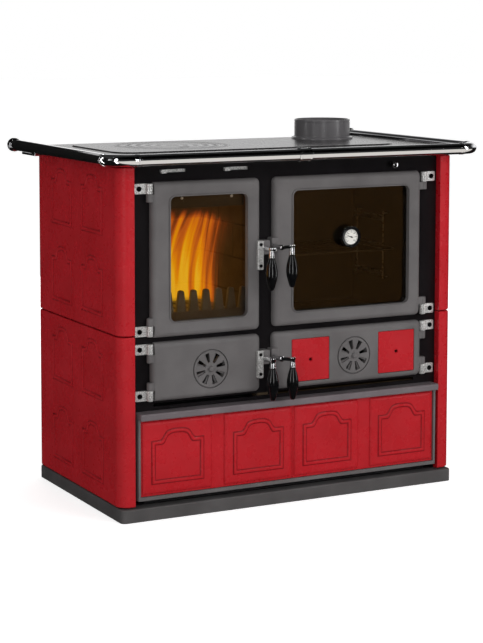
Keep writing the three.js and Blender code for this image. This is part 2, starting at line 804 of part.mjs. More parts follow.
piece('flue_collar', turned([
  [flueRadius - flueWall, plateTop],
  [flangeRadius, plateTop],
  [flangeRadius, plateTop + flangeWall - 1.5],
  [flangeRadius - 1.5, plateTop + flangeWall],
  [flueRadius, plateTop + flangeWall],
  [flueRadius, fluetop],
  [flueRadius - flueWall, fluetop],
  [flueRadius - flueWall, plateTop],
], flueX, flueY, 48), finishes.blackSteel);

// ---------------------------------------------------------------- hand rail

const railRoute = [
  new THREE.Vector2(-railHalfSpan, railEnd - railCapLength / 2),
  ...bend(-railHalfSpan + railBend, -railFront + railBend, railBend, 180),
  ...bend(railHalfSpan - railBend, -railFront + railBend, railBend, 270),
  new THREE.Vector2(railHalfSpan, railEnd - railCapLength / 2),
];

function railCap(side) {
  const capRear = railEnd;
  const capFront = railEnd - railCapLength;
  const levels = [
    { outline: circle(side * railHalfSpan, railHeight, railRadius, 16), w: -capRear },
    { outline: circle(side * railHalfSpan, railHeight, railCapRadius, 16), w: -capRear + 3 },
    { outline: circle(side * railHalfSpan, railHeight, railCapRadius, 16), w: -capFront - 3 },
    { outline: circle(side * railHalfSpan, railHeight, railRadius - 1, 16), w: -capFront },
  ];
  return stack(levels);
}

piece('handrail', join(flatTube(railRoute, railHeight, railRadius), railCap(-1), railCap(1)), finishes.chrome);

// A collar round the front tube, held against the cooktop's edge.
const clampBore = prism(circle(-railFront, railHeight, railRadius + clearance, 24),
  clampX - clampLength, clampX + clampLength, RIGHT);

piece('rail_clamp', cut(
  prism(circle(-railFront, railHeight, clampRadius, 24), clampX - clampLength / 2, clampX + clampLength / 2, RIGHT),
  clampBore,
), finishes.chrome);

function railBracket(side) {
  const inner = side * (carcassHalfWidth + panelWall - 4);
  const outer = side * (railHalfSpan + 4);
  const low = Math.min(inner, outer);
  const high = Math.max(inner, outer);
  return block(low, high, bracketY - bracketWidth / 2, bracketY + bracketWidth / 2,
    cooktopUnderside - bracketWall, cooktopUnderside - clearance);
}

piece('rail_bracket_left', railBracket(-1), finishes.chrome);
piece('rail_bracket_right', railBracket(1), finishes.chrome);

// ---------------------------------------------------------------- hinges

// One bracket screwed to the front plate, with a knuckle and the pin that enters the door's lug.
function hingeBracket(side, foot, pinDown) {
  const pinX = side * hingePinX;
  const plateEnd = side * bracketPlateEnd;
  const low = Math.min(pinX, plateEnd);
  const high = Math.max(pinX, plateEnd);
  const top = foot + bracketHeight;
  const plate = block(low, high, -doorRear - bracketPlateWall, -doorRear, foot, top);
  const knuckle = turned([[0, foot], [knuckleRadius, foot], [knuckleRadius, top], [0, top]],
    pinX, -hingePinOut, 20);
  const pinFoot = pinDown ? foot - lugHeight + 3 : foot + 2;
  const pinTop = pinDown ? top - 2 : top + lugHeight - 3;
  const pin = turned([[0, pinFoot], [hingePinRadius, pinFoot], [hingePinRadius, pinTop], [0, pinTop]],
    pinX, -hingePinOut, 16);
  const screwX = side * (bracketPlateEnd - 11);
  const screw = round(screwX, (foot + top) / 2, 5, doorRear + 1, doorRear + bracketPlateWall + 2.5, FRONT, 12);
  return join(plate, knuckle, pin, screw);
}

// The door's own half: a lug with a bore, and a notch in the door's edge beside the bracket.
function hingeLug(side, foot, top, doorEdgeX) {
  const pinX = side * hingePinX;
  const inward = doorEdgeX - side * 10;
  const arm = block(Math.min(pinX, inward), Math.max(pinX, inward),
    -hingePinOut - knuckleRadius + 2, -doorRear, foot, top);
  const knuckle = turned([[0, foot], [knuckleRadius, foot], [knuckleRadius, top], [0, top]],
    pinX, -hingePinOut, 20);
  return join(arm, knuckle);
}

function lugBore(side, foot, top) {
  const radius = hingePinRadius + hingeClearance;
  return turned([[0, foot - 1], [radius, foot - 1], [radius, top + 1], [0, top + 1]],
    side * hingePinX, -hingePinOut, 16);
}

function bracketNotch(side, foot, top) {
  const reach = side * (hingePinX - knuckleRadius - 1.8);
  const outside = side * (hingePinX + 30);
  return block(Math.min(reach, outside), Math.max(reach, outside), -doorFace - 5, -doorRear + 5, foot, top);
}

const lugGap = 0.5;

// Adds both lugs to a door slab and clears the brackets' room.
function hung(door, side, doorEdgeX, doorTop, doorFoot, topBracket, footBracket) {
  const topLug = [topBracket - lugGap - lugHeight, topBracket - lugGap];
  const footLug = [footBracket + bracketHeight + lugGap, footBracket + bracketHeight + lugGap + lugHeight];
  const roomAbove = bracketNotch(side, topBracket - lugGap, doorTop + 10);
  const roomBelow = bracketNotch(side, doorFoot - 10, footBracket + bracketHeight + lugGap);
  const cleared = cut(door, roomAbove, roomBelow);
  const lugged = join(cleared, hingeLug(side, ...topLug, doorEdgeX), hingeLug(side, ...footLug, doorEdgeX));
  return cut(lugged, lugBore(side, ...topLug), lugBore(side, ...footLug));
}

[
  ['fire', -1, doorTopBracket, doorFootBracket],
  ['ash', -1, lowerTopBracket, lowerFootBracket],
  ['oven', 1, doorTopBracket, doorFootBracket],
  ['service', 1, lowerTopBracket, lowerFootBracket],
].forEach(([door, side, topBracket, footBracket]) => {
  piece(`hinge_bracket_${door}_top`, hingeBracket(side, topBracket, true), finishes.chrome);
  piece(`hinge_bracket_${door}_bottom`, hingeBracket(side, footBracket, false), finishes.chrome);
});

// ---------------------------------------------------------------- doors

function doorSlab(left, right, foot, top) {
  return roundedSlab((inset) => roundedRectangle(left + inset, right - inset, foot + inset, top - inset,
    doorCorner + inset * 0.4), doorRear, doorFace, doorEdge, doorWall - 4);
}

// A lug at the door's free edge that carries the latch pin.
const latchLugOut = 6;
const fireLug = { left: fireDoorRight - 10, right: fireDoorRight + 23, x: fireDoorRight + 12 };
const ovenLug = { left: ovenDoorLeft - 10, right: ovenDoorLeft + 11, x: ovenDoorLeft - 2 };
const lugHalfHeight = 15;

function latchLug(lug, pinHeight) {
  return prism(roundedRectangle(lug.left, lug.right, pinHeight - lugHalfHeight, pinHeight + lugHalfHeight + 5, 4),
    doorRear, doorFace + latchLugOut);
}

function latchBore(lug, pinHeight) {
  return round(lug.x, pinHeight, latchPinRadius + hingeClearance, doorFace - 10, doorFace + latchLugOut + 1,
    FRONT, 16);
}

const firePin = 636;
const ovenPin = 641;
const ashPin = 366;
const servicePin = 368;

function windowCut(left, right, foot, top) {
  return prism(roundedRectangle(left, right, foot, top, windowCorner), doorRear - 1, doorFace + 1);
}

function glassSeat(left, right, foot, top) {
  return prism(roundedRectangle(left - glassLap, right + glassLap, foot - glassLap, top + glassLap, windowCorner),
    doorRear - 1, doorRear + glassWall + clearance);
}

function glassPane(left, right, foot, top) {
  const lap = glassLap - clearance;
  return prism(roundedRectangle(left - lap, right + lap, foot - lap, top + lap, windowCorner),
    doorRear, doorRear + glassWall);
}

piece('fire_door', cut(
  join(
    hung(
      cut(doorSlab(fireDoorLeft, fireDoorRight, fireDoorFoot, fireDoorTop),
        windowCut(fireWindowLeft, fireWindowRight, fireWindowFoot, fireWindowTop),
        glassSeat(fireWindowLeft, fireWindowRight, fireWindowFoot, fireWindowTop)),
      -1, fireDoorLeft, fireDoorTop, fireDoorFoot, doorTopBracket, doorFootBracket),
    latchLug(fireLug, firePin),
  ),
  latchBore(fireLug, firePin),
), finishes.castGrey);

piece('fire_glass', glassPane(fireWindowLeft, fireWindowRight, fireWindowFoot, fireWindowTop), finishes.glass);

piece('oven_door', cut(
  join(
    hung(
      cut(doorSlab(ovenDoorLeft, ovenDoorRight, ovenDoorFoot, ovenDoorTop),
        windowCut(ovenWindowLeft, ovenWindowRight, ovenWindowFoot, ovenWindowTop),
        glassSeat(ovenWindowLeft, ovenWindowRight, ovenWindowFoot, ovenWindowTop)),
      1, ovenDoorRight, ovenDoorTop, ovenDoorFoot, doorTopBracket, doorFootBracket),
    latchLug(ovenLug, ovenPin),
  ),
  latchBore(ovenLug, ovenPin),
), finishes.castGrey);

piece('oven_glass', glassPane(ovenWindowLeft, ovenWindowRight, ovenWindowFoot, ovenWindowTop), finishes.glass);

const dialFoot = doorRear + glassWall + clearance;
const dialFace = dialFoot + dialDepth;

piece('oven_thermometer', cut(
  stack([
    { outline: circle(dialX, dialHeight, dialRadius - 5, 32), w: dialFoot },
    { outline: circle(dialX, dialHeight, dialRadius, 32), w: dialFoot + 8 },
    { outline: circle(dialX, dialHeight, dialRadius, 32), w: dialFace - 3 },
    { outline: circle(dialX, dialHeight, dialRadius - 3, 32), w: dialFace },
  ]),
  round(dialX, dialHeight, dialRadius - 6, dialFace - 3, dialFace + 1, FRONT, 32),
), finishes.dial);

// ---------------------------------------------------------------- air rosettes

const rosetteInner = 16;
const rosetteOuter = 39;
const slotShare = 0.46;

// Ring-sector outlines for the air holes, turned by an offset.
function sector(cu, cv, index, offset) {
  const pitch = (2 * Math.PI) / rosetteSlots;
  const from = pitch * index + offset;
  const steps = 2;
  const outline = [];
  for (let i = 0; i <= steps; i += 1) {
    const angle = from + pitch * slotShare * (i / steps);
    outline.push(new THREE.Vector2(cu + rosetteOuter * Math.cos(angle), cv + rosetteOuter * Math.sin(angle)));
  }
  for (let i = steps; i >= 0; i -= 1) {
    const angle = from + pitch * slotShare * (i / steps);
    outline.push(new THREE.Vector2(cu + rosetteInner * Math.cos(angle), cv + rosetteInner * Math.sin(angle)));
  }
  return outline;
}

function airHoles(x, offset, w0, w1) {
  return Array.from({ length: rosetteSlots }, (_, i) => prism(sector(x, rosetteHeight, i, offset), w0, w1));
}

const rosetteFloor = doorFace - rosetteRecess;
const rosetteGap = 1.2;
const rosettePinRadius = 3;
const rosettePinDepth = 8;
const shutterOffset = 0.12;

function rosetteSeat(door, x) {
  return cut(door,
    round(x, rosetteHeight, rosetteRadius + rosetteGap, rosetteFloor, doorFace + 1, FRONT, 40),
    round(x, rosetteHeight, rosettePinRadius + hingeClearance, rosetteFloor - rosettePinDepth - 1,
      rosetteFloor + 1, FRONT, 16),
    ...airHoles(x, 0, doorRear - 1, doorFace));
}

function airDisc(x) {
  const foot = rosetteFloor + clearance;
  return join(
    cut(round(x, rosetteHeight, rosetteRadius, foot, foot + rosetteWall, FRONT, 40),
      ...airHoles(x, shutterOffset, foot - 1, foot + rosetteWall + 1)),
    round(x, rosetteHeight, rosetteHub / 2, foot + rosetteWall - 1, foot + rosetteWall + 7, FRONT, 16),
    round(x, rosetteHeight, rosettePinRadius, foot - rosettePinDepth, foot + 1, FRONT, 16),
  );
}

piece('ash_door', cut(
  join(
    hung(rosetteSeat(doorSlab(ashDoorLeft, ashDoorRight, lowerDoorFoot, lowerDoorTop), ashRosetteX),
      -1, ashDoorLeft, lowerDoorTop, lowerDoorFoot, lowerTopBracket, lowerFootBracket),
    latchLug(fireLug, ashPin),
  ),
  latchBore(fireLug, ashPin),
), finishes.castGrey);

piece('ash_air_disc', airDisc(ashRosetteX), finishes.castGrey);

const tileFoot = 298.5;
const tileGap = 1;
const tileProud = 0.6;

function tileSeat(x) {
  const half = tileSize / 2 + tileGap;
  return prism(roundedRectangle(x - half, x + half, tileFoot - tileGap, tileFoot + tileSize + tileGap, 3, 2),
    doorFace + tileProud - tileWall - clearance, doorFace + 1);
}

function serviceTile(x) {
  const half = tileSize / 2;
  const rear = doorFace + tileProud - tileWall;
  return cut(
    roundedSlab((inset) => roundedRectangle(x - half + inset, x + half - inset, tileFoot + inset,
      tileFoot + tileSize - inset, 2.5, 2), rear, doorFace + tileProud, 1.5, 1.5, 2),
    round(x, tileFoot + tileSize / 2, 3.5, doorFace + tileProud - 2, doorFace + tileProud + 1, FRONT, 12),
  );
}

piece('service_door', cut(
  join(
    hung(rosetteSeat(
      cut(doorSlab(serviceDoorLeft, serviceDoorRight, lowerDoorFoot, lowerDoorTop),
        tileSeat(leftTileX), tileSeat(rightTileX)), serviceRosetteX),
    1, serviceDoorRight, lowerDoorTop, lowerDoorFoot, lowerTopBracket, lowerFootBracket),
    latchLug(ovenLug, servicePin),
  ),
  latchBore(ovenLug, servicePin),
), finishes.castGrey);

piece('service_air_disc', airDisc(serviceRosetteX), finishes.castGrey);
piece('service_tile_left', serviceTile(leftTileX), finishes.glazedRed);
piece('service_tile_right', serviceTile(rightTileX), finishes.glazedRed);

// ---------------------------------------------------------------- latch levers and grips

const gripAxis = plateFace + gripOut;
const leverReach = 28;            // from the oven latch pin across to its grip

// Lever: a pin in the door's lug, a boss that stands out from it, and a neck that holds the grip.
function latchLever(lug, pinHeight, gripX, neckTop) {
  const lugFace = doorFace + latchLugOut + clearance;
  const boss = round(lug.x, pinHeight, leverBossRadius, lugFace, gripAxis + 2, FRONT, 16);
  const pin = round(lug.x, pinHeight, latchPinRadius, lugFace - 12, lugFace + 2, FRONT, 16);
  const neckFoot = neckTop - neckLength;
  const neck = turned([[0, neckFoot], [neckRadius - 1, neckFoot], [neckRadius, neckFoot + 2],
    [neckRadius - 1.5, neckTop - 8], [neckRadius + 0.5, neckTop - 3], [0, neckTop]], gripX, -gripAxis, 16);
  const armLow = Math.min(lug.x, gripX);
  const armHigh = Math.max(lug.x, gripX);
  const arm = block(armLow - 0.5, armHigh + 0.5, -gripAxis - 3, -gripAxis + 5, pinHeight - 4, pinHeight + 5);
  return join(boss, pin, neck, arm);
}

// Spindle grip: narrow at the neck, full below the middle, closed by a round tip.
function grip(gripX, neckTop) {
  const top = neckTop - neckLength - clearance;
  const foot = top - gripLength;
  return turned([
    [0, foot], [4.5, foot + 1.5], [7.5, foot + 8], [gripRadius * 0.8, foot + 22], [gripRadius, foot + 38],
    [gripRadius * 0.94, foot + 54], [gripRadius * 0.72, foot + 68], [neckRadius, top - 2], [neckRadius - 1, top],
    [0, top],
  ], gripX, -gripAxis, 16);
}

[
  ['fire', fireLug, firePin, fireLug.x - 6, 643],
  ['oven', ovenLug, ovenPin, ovenLug.x + leverReach - 1, 648],
  ['ash', fireLug, ashPin, fireLug.x - 2, 373],
  ['service', ovenLug, servicePin, ovenLug.x + leverReach + 2, 371],
].forEach(([door, lug, pinHeight, gripX, neckTop]) => {
  piece(`latch_lever_${door}`, latchLever(lug, pinHeight, gripX, neckTop), finishes.chrome);
  piece(`grip_${door}`, grip(gripX, neckTop), finishes.blackGrip);
});

// ---------------------------------------------------------------- fascia controls

// Shutter plate behind the slot, with a stem and a chrome tip in front.
function airLever(slotX) {
  const shutterRear = carcassFront - 3;
  const shutter = block(slotX - 10, slotX + leverSlotLength + 10, -carcassFront, -shutterRear,
    leverSlotFoot - 7, leverSlotFoot + leverSlotHeight + 7);
  const stemLeft = slotX + 1;
  const stem = block(stemLeft, stemLeft + 12, -plateFace - 8, -shutterRear - 1,
    leverSlotFoot + 1, leverSlotFoot + leverSlotHeight - 1);
  const tip = block(stemLeft - 1, stemLeft + 13, -plateFace - 11, -plateFace - 4,
    leverSlotFoot - 0.5, leverSlotFoot + leverSlotHeight + 0.5);
  return join(shutter, stem, tip);
}

piece('air_lever_left', airLever(leftSlotX), finishes.steel);
piece('air_lever_right', airLever(rightSlotX), finishes.steel);

// Flue damper: a chrome knob on a rod that runs back over the oven to a sliding flap.
const knobOut = 24;
const flapLength = 70;
const flapWidth = 110;
const flapBack = ovenBack - 4;
const rodFront = plateFace + 6;

piece('damper_knob', stack([
  { outline: circle(damperX, damperHeight, damperKnobRadius * 0.6, 16), w: rodFront + clearance },
  { outline: circle(damperX, damperHeight, damperKnobRadius * 0.55, 16), w: rodFront + 6 },
  { outline: circle(damperX, damperHeight, damperKnobRadius, 16), w: rodFront + 10 },
  { outline: circle(damperX, damperHeight, damperKnobRadius, 16), w: plateFace + knobOut - 3 },
  { outline: circle(damperX, damperHeight, damperKnobRadius * 0.6, 16), w: plateFace + knobOut },
]), finishes.chrome);

piece('flue_damper', join(
  round(damperX, damperHeight, damperRodRadius, -flapBack + flapLength - 4, rodFront, FRONT, 16),
  block(damperX - 6, damperX + 6, flapBack - flapLength, flapBack - flapLength + 4,
    ovenTop + clearance, damperHeight),
  block(damperX - flapWidth / 2, damperX + flapWidth / 2, flapBack - flapLength, flapBack,
    ovenTop + clearance, ovenTop + 3.3),
), finishes.steel);

// ---------------------------------------------------------------- log drawer

const drawerRear = doorRear;
const drawerPlateFace = drawerRear + drawerPlateWall;
const rimFace = drawerPlateFace + tileBlockWall;
const stripFace = plateFace + stripOut;
const stripFoot = drawerTileTop + clearance;
const tileHalf = drawerHalfWidth - drawerRim;
const tileBlockFoot = drawerFoot + drawerRim + 3;

piece('drawer_front', join(
  block(-drawerHalfWidth, drawerHalfWidth, -drawerPlateFace, -drawerRear, drawerFoot, stripFoot + 1),
  cut(
    block(-drawerHalfWidth, drawerHalfWidth, -rimFace, -drawerPlateFace + 1, drawerFoot, stripFoot + 1),
    block(-tileHalf, tileHalf, -rimFace - 1, -drawerPlateFace + 0.5, tileBlockFoot, stripFoot + 2),
  ),
  roundedSlab((inset) => roundedRectangle(-drawerHalfWidth + inset, drawerHalfWidth - inset,
    stripFoot + inset * 0.5, stripTop - inset * 0.5, 3, 2), drawerRear, stripFace, 4, 8, 2),
), finishes.castGrey);

// A glazed tile block: two raised fields with rounded edges, each drawn with an arch bead.
const fieldProud = 5;
const fieldEdge = 11;
const tileJoint = 0.6;
const fieldSideMargin = 4;
const fieldBand = 33;             // sunk band between the two fields
const fieldMargin = 5;
const drawerArchFoot = 86;
const drawerArchShoulder = 190;
const drawerArchApex = 216;
const drawerArchWidth = 138;

function drawerTile(side) {
  const inner = side > 0 ? tileJoint / 2 : -tileHalf + clearance;
  const outer = side > 0 ? tileHalf - clearance : -tileJoint / 2;
  const rear = drawerPlateFace + clearance;
  const ground = rimFace - fieldProud;
  const middle = (inner + outer) / 2;
  const top = drawerTileTop - clearance;
  const foot = tileBlockFoot + clearance;
  const base = prism(roundedRectangle(inner, outer, foot, top, 2, 2), rear, ground);
  const fields = [[inner + fieldSideMargin, middle - fieldBand / 2], [middle + fieldBand / 2, outer - fieldSideMargin]];
  const raised = fields.map(([left, right]) => roundedSlab((inset) => roundedRectangle(left + inset,
    right - inset, foot + fieldMargin + inset, top - fieldMargin - inset, 3, 2),
  ground - 1, rimFace, fieldEdge, fieldProud, 2));
  const beads = fields.map(([left, right]) => {
    const centre = (left + right) / 2;
    return archBead({
      left: centre - drawerArchWidth / 2,
      right: centre + drawerArchWidth / 2,
      foot: drawerArchFoot,
      shoulder: drawerArchShoulder,
      apex: drawerArchApex,
      flatShare: archFlatShare,
    }, rimFace, FRONT);
  });
  return join(base, ...raised, ...beads);
}

piece('drawer_tile_left', drawerTile(-1), finishes.glazedRed);
piece('drawer_tile_right', drawerTile(1), finishes.glazedRed);

const drawerBoxWall = 3;
const drawerBoxFoot = deckTop;
const drawerBoxFront = -drawerRear + clearance;

piece('drawer_box', cut(
  block(-drawerBoxHalfWidth, drawerBoxHalfWidth, drawerBoxFront, drawerBoxFront + drawerBoxDepth,
    drawerBoxFoot, drawerBoxFoot + drawerBoxHeight),
  block(-drawerBoxHalfWidth + drawerBoxWall, drawerBoxHalfWidth - drawerBoxWall, drawerBoxFront + drawerBoxWall,
    drawerBoxFront + drawerBoxDepth - drawerBoxWall, drawerBoxFoot + drawerBoxWall,
    drawerBoxFoot + drawerBoxHeight + 1),
), finishes.steel);

export default stove;
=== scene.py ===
"""Wood cookstove: a kitchen range with red glazed panels, cast-iron doors and a chrome rail.

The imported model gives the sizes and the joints. Each section below makes one piece, or a group of
like pieces, in metres in that model's frame, and lets it ride on the body it belongs to.
"""

import json
import math

import bmesh
import bpy
from mathutils import Matrix, Vector

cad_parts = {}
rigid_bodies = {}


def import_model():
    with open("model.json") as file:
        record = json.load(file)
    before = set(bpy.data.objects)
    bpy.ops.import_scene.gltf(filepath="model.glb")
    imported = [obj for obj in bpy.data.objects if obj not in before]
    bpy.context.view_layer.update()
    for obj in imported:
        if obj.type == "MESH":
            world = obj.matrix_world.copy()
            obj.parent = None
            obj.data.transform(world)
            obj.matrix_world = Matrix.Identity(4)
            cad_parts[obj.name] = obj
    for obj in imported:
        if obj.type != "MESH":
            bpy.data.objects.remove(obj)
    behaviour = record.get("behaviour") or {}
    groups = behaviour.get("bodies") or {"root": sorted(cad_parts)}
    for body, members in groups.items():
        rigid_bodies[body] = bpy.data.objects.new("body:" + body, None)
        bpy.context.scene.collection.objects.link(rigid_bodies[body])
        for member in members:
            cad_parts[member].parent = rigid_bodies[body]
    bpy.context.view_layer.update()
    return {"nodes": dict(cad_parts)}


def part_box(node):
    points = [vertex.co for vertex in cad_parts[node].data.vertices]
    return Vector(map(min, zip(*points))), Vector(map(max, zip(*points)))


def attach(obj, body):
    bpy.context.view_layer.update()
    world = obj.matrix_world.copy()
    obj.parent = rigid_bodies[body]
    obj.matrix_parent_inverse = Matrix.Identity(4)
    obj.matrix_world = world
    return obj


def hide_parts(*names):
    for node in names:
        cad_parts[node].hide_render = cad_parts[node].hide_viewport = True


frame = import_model()

# ---------------------------------------------------------------- plinth
# The plinth is a low frame folded from steel sheet and coated with a grey satin stove paint.
# It stands on the floor, a little wider than the body, and its rounded upper edge catches the light.


def linear(colour):
    """A linear RGBA from an sRGB hex string."""
    channels = [int(colour[i:i + 2], 16) / 255 for i in (1, 3, 5)]
    return [c / 12.92 if c <= 0.04045 else ((c + 0.055) / 1.055) ** 2.4 for c in channels] + [1.0]


def add(tree, kind, settings=None, inputs=None):
    """Adds one node. An input, named or numbered, takes a value or another node's output."""
    made = tree.nodes.new(kind)
    for name, value in (settings or {}).items():
        setattr(made, name, value)
    for name, value in (inputs or {}).items():
        if isinstance(value, bpy.types.NodeSocket):
            tree.links.new(value, made.inputs[name])
        else:
            made.inputs[name].default_value = value
    return made


def finish(name, **sockets):
    """A material with a Principled shader, whose plain sockets are set by name."""
    made = bpy.data.materials.new(name)
    made.use_nodes = True
    tree = made.node_tree
    tree.nodes.clear()
    shader = add(tree, "ShaderNodeBsdfPrincipled")
    output = add(tree, "ShaderNodeOutputMaterial")
    tree.links.new(shader.outputs[0], output.inputs[0])
    for socket, value in sockets.items():
        plain_name = socket if socket == "IOR" else socket.replace("_", " ").title()
        shader.inputs[plain_name].default_value = value
    return made, tree, shader


def grain(tree, size, detail=3.0, stretch=(1, 1, 1)):
    """Noise on object coordinates whose lumps are about `size` metres across."""
    place = add(tree, "ShaderNodeTexCoord")
    scaled = add(tree, "ShaderNodeMapping", inputs={"Vector": place.outputs["Object"], "Scale": stretch})
    noise = add(tree, "ShaderNodeTexNoise", inputs={
        "Vector": scaled.outputs[0], "Scale": 1 / size, "Detail": detail, "Roughness": 0.55})
    return noise.outputs["Fac"]


def between(tree, factor, low, high, start=0.3, end=0.7):
    """A colour that runs from one hex to another as the factor goes from start to end."""
    ramp = add(tree, "ShaderNodeValToRGB", inputs={"Fac": factor})
    ramp.color_ramp.elements[0].position = start
    ramp.color_ramp.elements[1].position = end
    ramp.color_ramp.elements[0].color = linear(low)
    ramp.color_ramp.elements[1].color = linear(high)
    return ramp.outputs["Color"]


def spread(tree, factor, low, high, start=0.3, end=0.7):
    """A number that runs from low to high as the factor goes from start to end."""
    ranged = add(tree, "ShaderNodeMapRange", inputs={
        "Value": factor, "From Min": start, "From Max": end, "To Min": low, "To Max": high})
    return ranged.outputs["Result"]


def relief(tree, shader, *layers):
    """Bump from several (height, depth in metres) layers, one on the other."""
    normal = None
    for height, depth in layers:
        inputs = {"Height": height, "Distance": depth, "Strength": 1.0}
        if normal is not None:
            inputs["Normal"] = normal
        normal = add(tree, "ShaderNodeBump", inputs=inputs).outputs["Normal"]
    tree.links.new(normal, shader.inputs["Normal"])


def toned(name, tone, low, high, shine, least, most, **sockets):
    """A material whose colour and roughness each run between two values with a grain of its own."""
    made, tree, shader = finish(name, **sockets)
    tree.links.new(between(tree, grain(tree, *tone), low, high), shader.inputs["Base Color"])
    tree.links.new(spread(tree, grain(tree, *shine), least, most), shader.inputs["Roughness"])
    return made


def stove_paint(name, low, high, roughness, grit=0.0012, depth=0.00006):
    """Heat-proof silicone paint, sprayed: a dull film with a fine grit and faint clouds in its tone."""
    made, tree, shader = finish(name, Metallic=0.0)
    tree.links.new(between(tree, grain(tree, 0.09), low, high), shader.inputs["Base Color"])
    tree.links.new(spread(tree, grain(tree, 0.03), roughness - 0.05, roughness + 0.06),
                   shader.inputs["Roughness"])
    relief(tree, shader, (grain(tree, grit, 2.0), depth))
    return made


def settle(obj, body, slot, *nodes):
    """The piece rides on its body and stands for these CAD nodes, which it hides. The slot is not used."""
    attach(obj, body)
    if nodes:
        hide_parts(*nodes)
    return obj


def linked(name, data):
    """A new object in the scene, at the origin."""
    obj = bpy.data.objects.new(name, data)
    bpy.context.scene.collection.objects.link(obj)
    return obj


def flattened(obj):
    """Turns an object and its modifiers into one plain mesh."""
    depsgraph = bpy.context.evaluated_depsgraph_get()
    mesh = bpy.data.meshes.new_from_object(obj.evaluated_get(depsgraph), depsgraph=depsgraph)
    obj.modifiers.clear()
    obj.data = mesh
    return obj


def bare(name, made, material):
    """An object at the origin from a bmesh whose closed shells face outwards."""
    bmesh.ops.recalc_face_normals(made, faces=made.faces)
    mesh = bpy.data.meshes.new(name)
    made.to_mesh(mesh)
    made.free()
    mesh.materials.append(material)
    return linked(name, mesh)


def shaded(obj, bevel=0.0, segments=2, smooth=38):
    """Bevels the sharp edges, then shades smooth up to an angle."""
    if bevel:
        edge = obj.modifiers.new("edge", "BEVEL")
        edge.width = bevel
        edge.segments = segments
        edge.limit_method = "ANGLE"
        edge.angle_limit = math.radians(smooth)
        flattened(obj)
    obj.data.shade_smooth()
    obj.data.set_sharp_from_angle(angle=math.radians(smooth))
    even = obj.modifiers.new("even", "WEIGHTED_NORMAL")
    even.keep_sharp = True
    return flattened(obj)


def merged_copy(node):
    """A bmesh of a CAD node with its loose triangles merged and its flat faces made whole."""
    made = bmesh.new()
    made.from_mesh(frame["nodes"][node].data)
    bmesh.ops.remove_doubles(made, verts=made.verts, dist=1e-6)
    bmesh.ops.dissolve_limit(made, angle_limit=math.radians(1), verts=made.verts, edges=made.edges)
    return made


def dressed(node, body, slot, material, bevel=0.0008, segments=2, smooth=38):
    """A CAD node's own shape with worked edges, in its real finish."""
    made = shaded(bare(node + "_made", merged_copy(node), material), bevel, segments, smooth)
    return settle(made, body, slot, node)


def on_plan(u, v, w):
    return u, v, w


def on_front(u, v, w):
    return u, -w, v


def on_left(u, v, w):
    return -w, -u, v


def on_right(u, v, w):
    return w, u, v


def upright_at(x, y):
    """Places a shape round an upright axis."""
    return lambda u, v, w: (x + u, y + v, w)


def forward_at(x, z):
    """Places a shape round an axis that points to the front."""
    return lambda u, v, w: (x + u, -w, z + v)


def rounded(u0, u1, v0, v1, radius, steps=6):
    """A rounded rectangle, counter-clockwise."""
    outline = []
    for cu, cv, start in ((u1 - radius, v0 + radius, -90), (u1 - radius, v1 - radius, 0),
                          (u0 + radius, v1 - radius, 90), (u0 + radius, v0 + radius, 180)):
        for i in range(steps + 1):
            angle = math.radians(start + 90 * i / steps)
            outline.append((cu + radius * math.cos(angle), cv + radius * math.sin(angle)))
    return outline


def loft(made, levels, place, closed=False):
    """Joins outlines of equal count, given as (outline, w), by faces. Closed, the last meets the first."""
    rings = [[made.verts.new(place(u, v, w)) for u, v in outline] for outline, w in levels]
    count = len(rings[0])
    pairs = list(zip(rings, rings[1:])) + ([(rings[-1], rings[0])] if closed else [])
    for low, high in pairs:
        for i in range(count):
            made.faces.new((low[i], low[(i + 1) % count], high[(i + 1) % count], high[i]))
    if not closed:
        made.faces.new(list(reversed(rings[0])))
        made.faces.new(rings[-1])
    return made


def eased(width, steps=4, depth=None):
    """(inset, rise) pairs of a quarter round, from its foot to its crown, as deep as wide unless told."""
    turns = [math.pi / 2 * i / steps for i in range(steps + 1)]
    return [(width * (1 - math.cos(a)), (depth or width) * math.sin(a)) for a in turns]


def soft_plate(made, left, right, foot, top, corner, rear, face, edge, shrink, steps=3):
    """An upright plate whose front edges are rounded, and whose corners tighten by `shrink` on the way."""
    levels = [(rounded(left, right, foot, top, corner, 4), rear)]
    levels += [(rounded(left + inset, right - inset, foot + inset, top - inset, corner - inset * shrink, 4),
                face - edge + rise) for inset, rise in eased(edge, steps)]
    return loft(made, levels, on_front)


plinth_paint = stove_paint("plinth_satin_paint", "#4A4848", "#585656", 0.5)
low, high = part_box("plinth")
plinth_rail = 0.048
plinth_corner = 0.012
plinth_edge = 0.004
plinth = bmesh.new()


def plinth_outline(inset):
    return rounded(low.x + inset, high.x - inset, low.y + inset, high.y - inset,
                   max(plinth_corner - inset, 0.004))


levels = [(plinth_outline(0.0), low.z)]
levels += [(plinth_outline(inset), high.z - plinth_edge + rise) for inset, rise in eased(plinth_edge)]
levels += [(plinth_outline(plinth_rail), high.z), (plinth_outline(plinth_rail), low.z)]
loft(plinth, levels, on_plan, closed=True)
settle(shaded(bare("plinth_made", plinth, plinth_paint)), "root", "plinth_grey", "plinth")

# ---------------------------------------------------------------- inner body
# The body is spot-welded steel sheet, painted black inside and out. Two decks divide it, and the
# front plate has an opening for each door and the slots of the air controls.

body_paint = stove_paint("black_stove_paint", "#100D0F", "#161315", 0.5)
for node in ("carcass", "floor_deck", "middle_deck", "front_frame"):
    dressed(node, "root", "black_steel", body_paint, 0.0009)


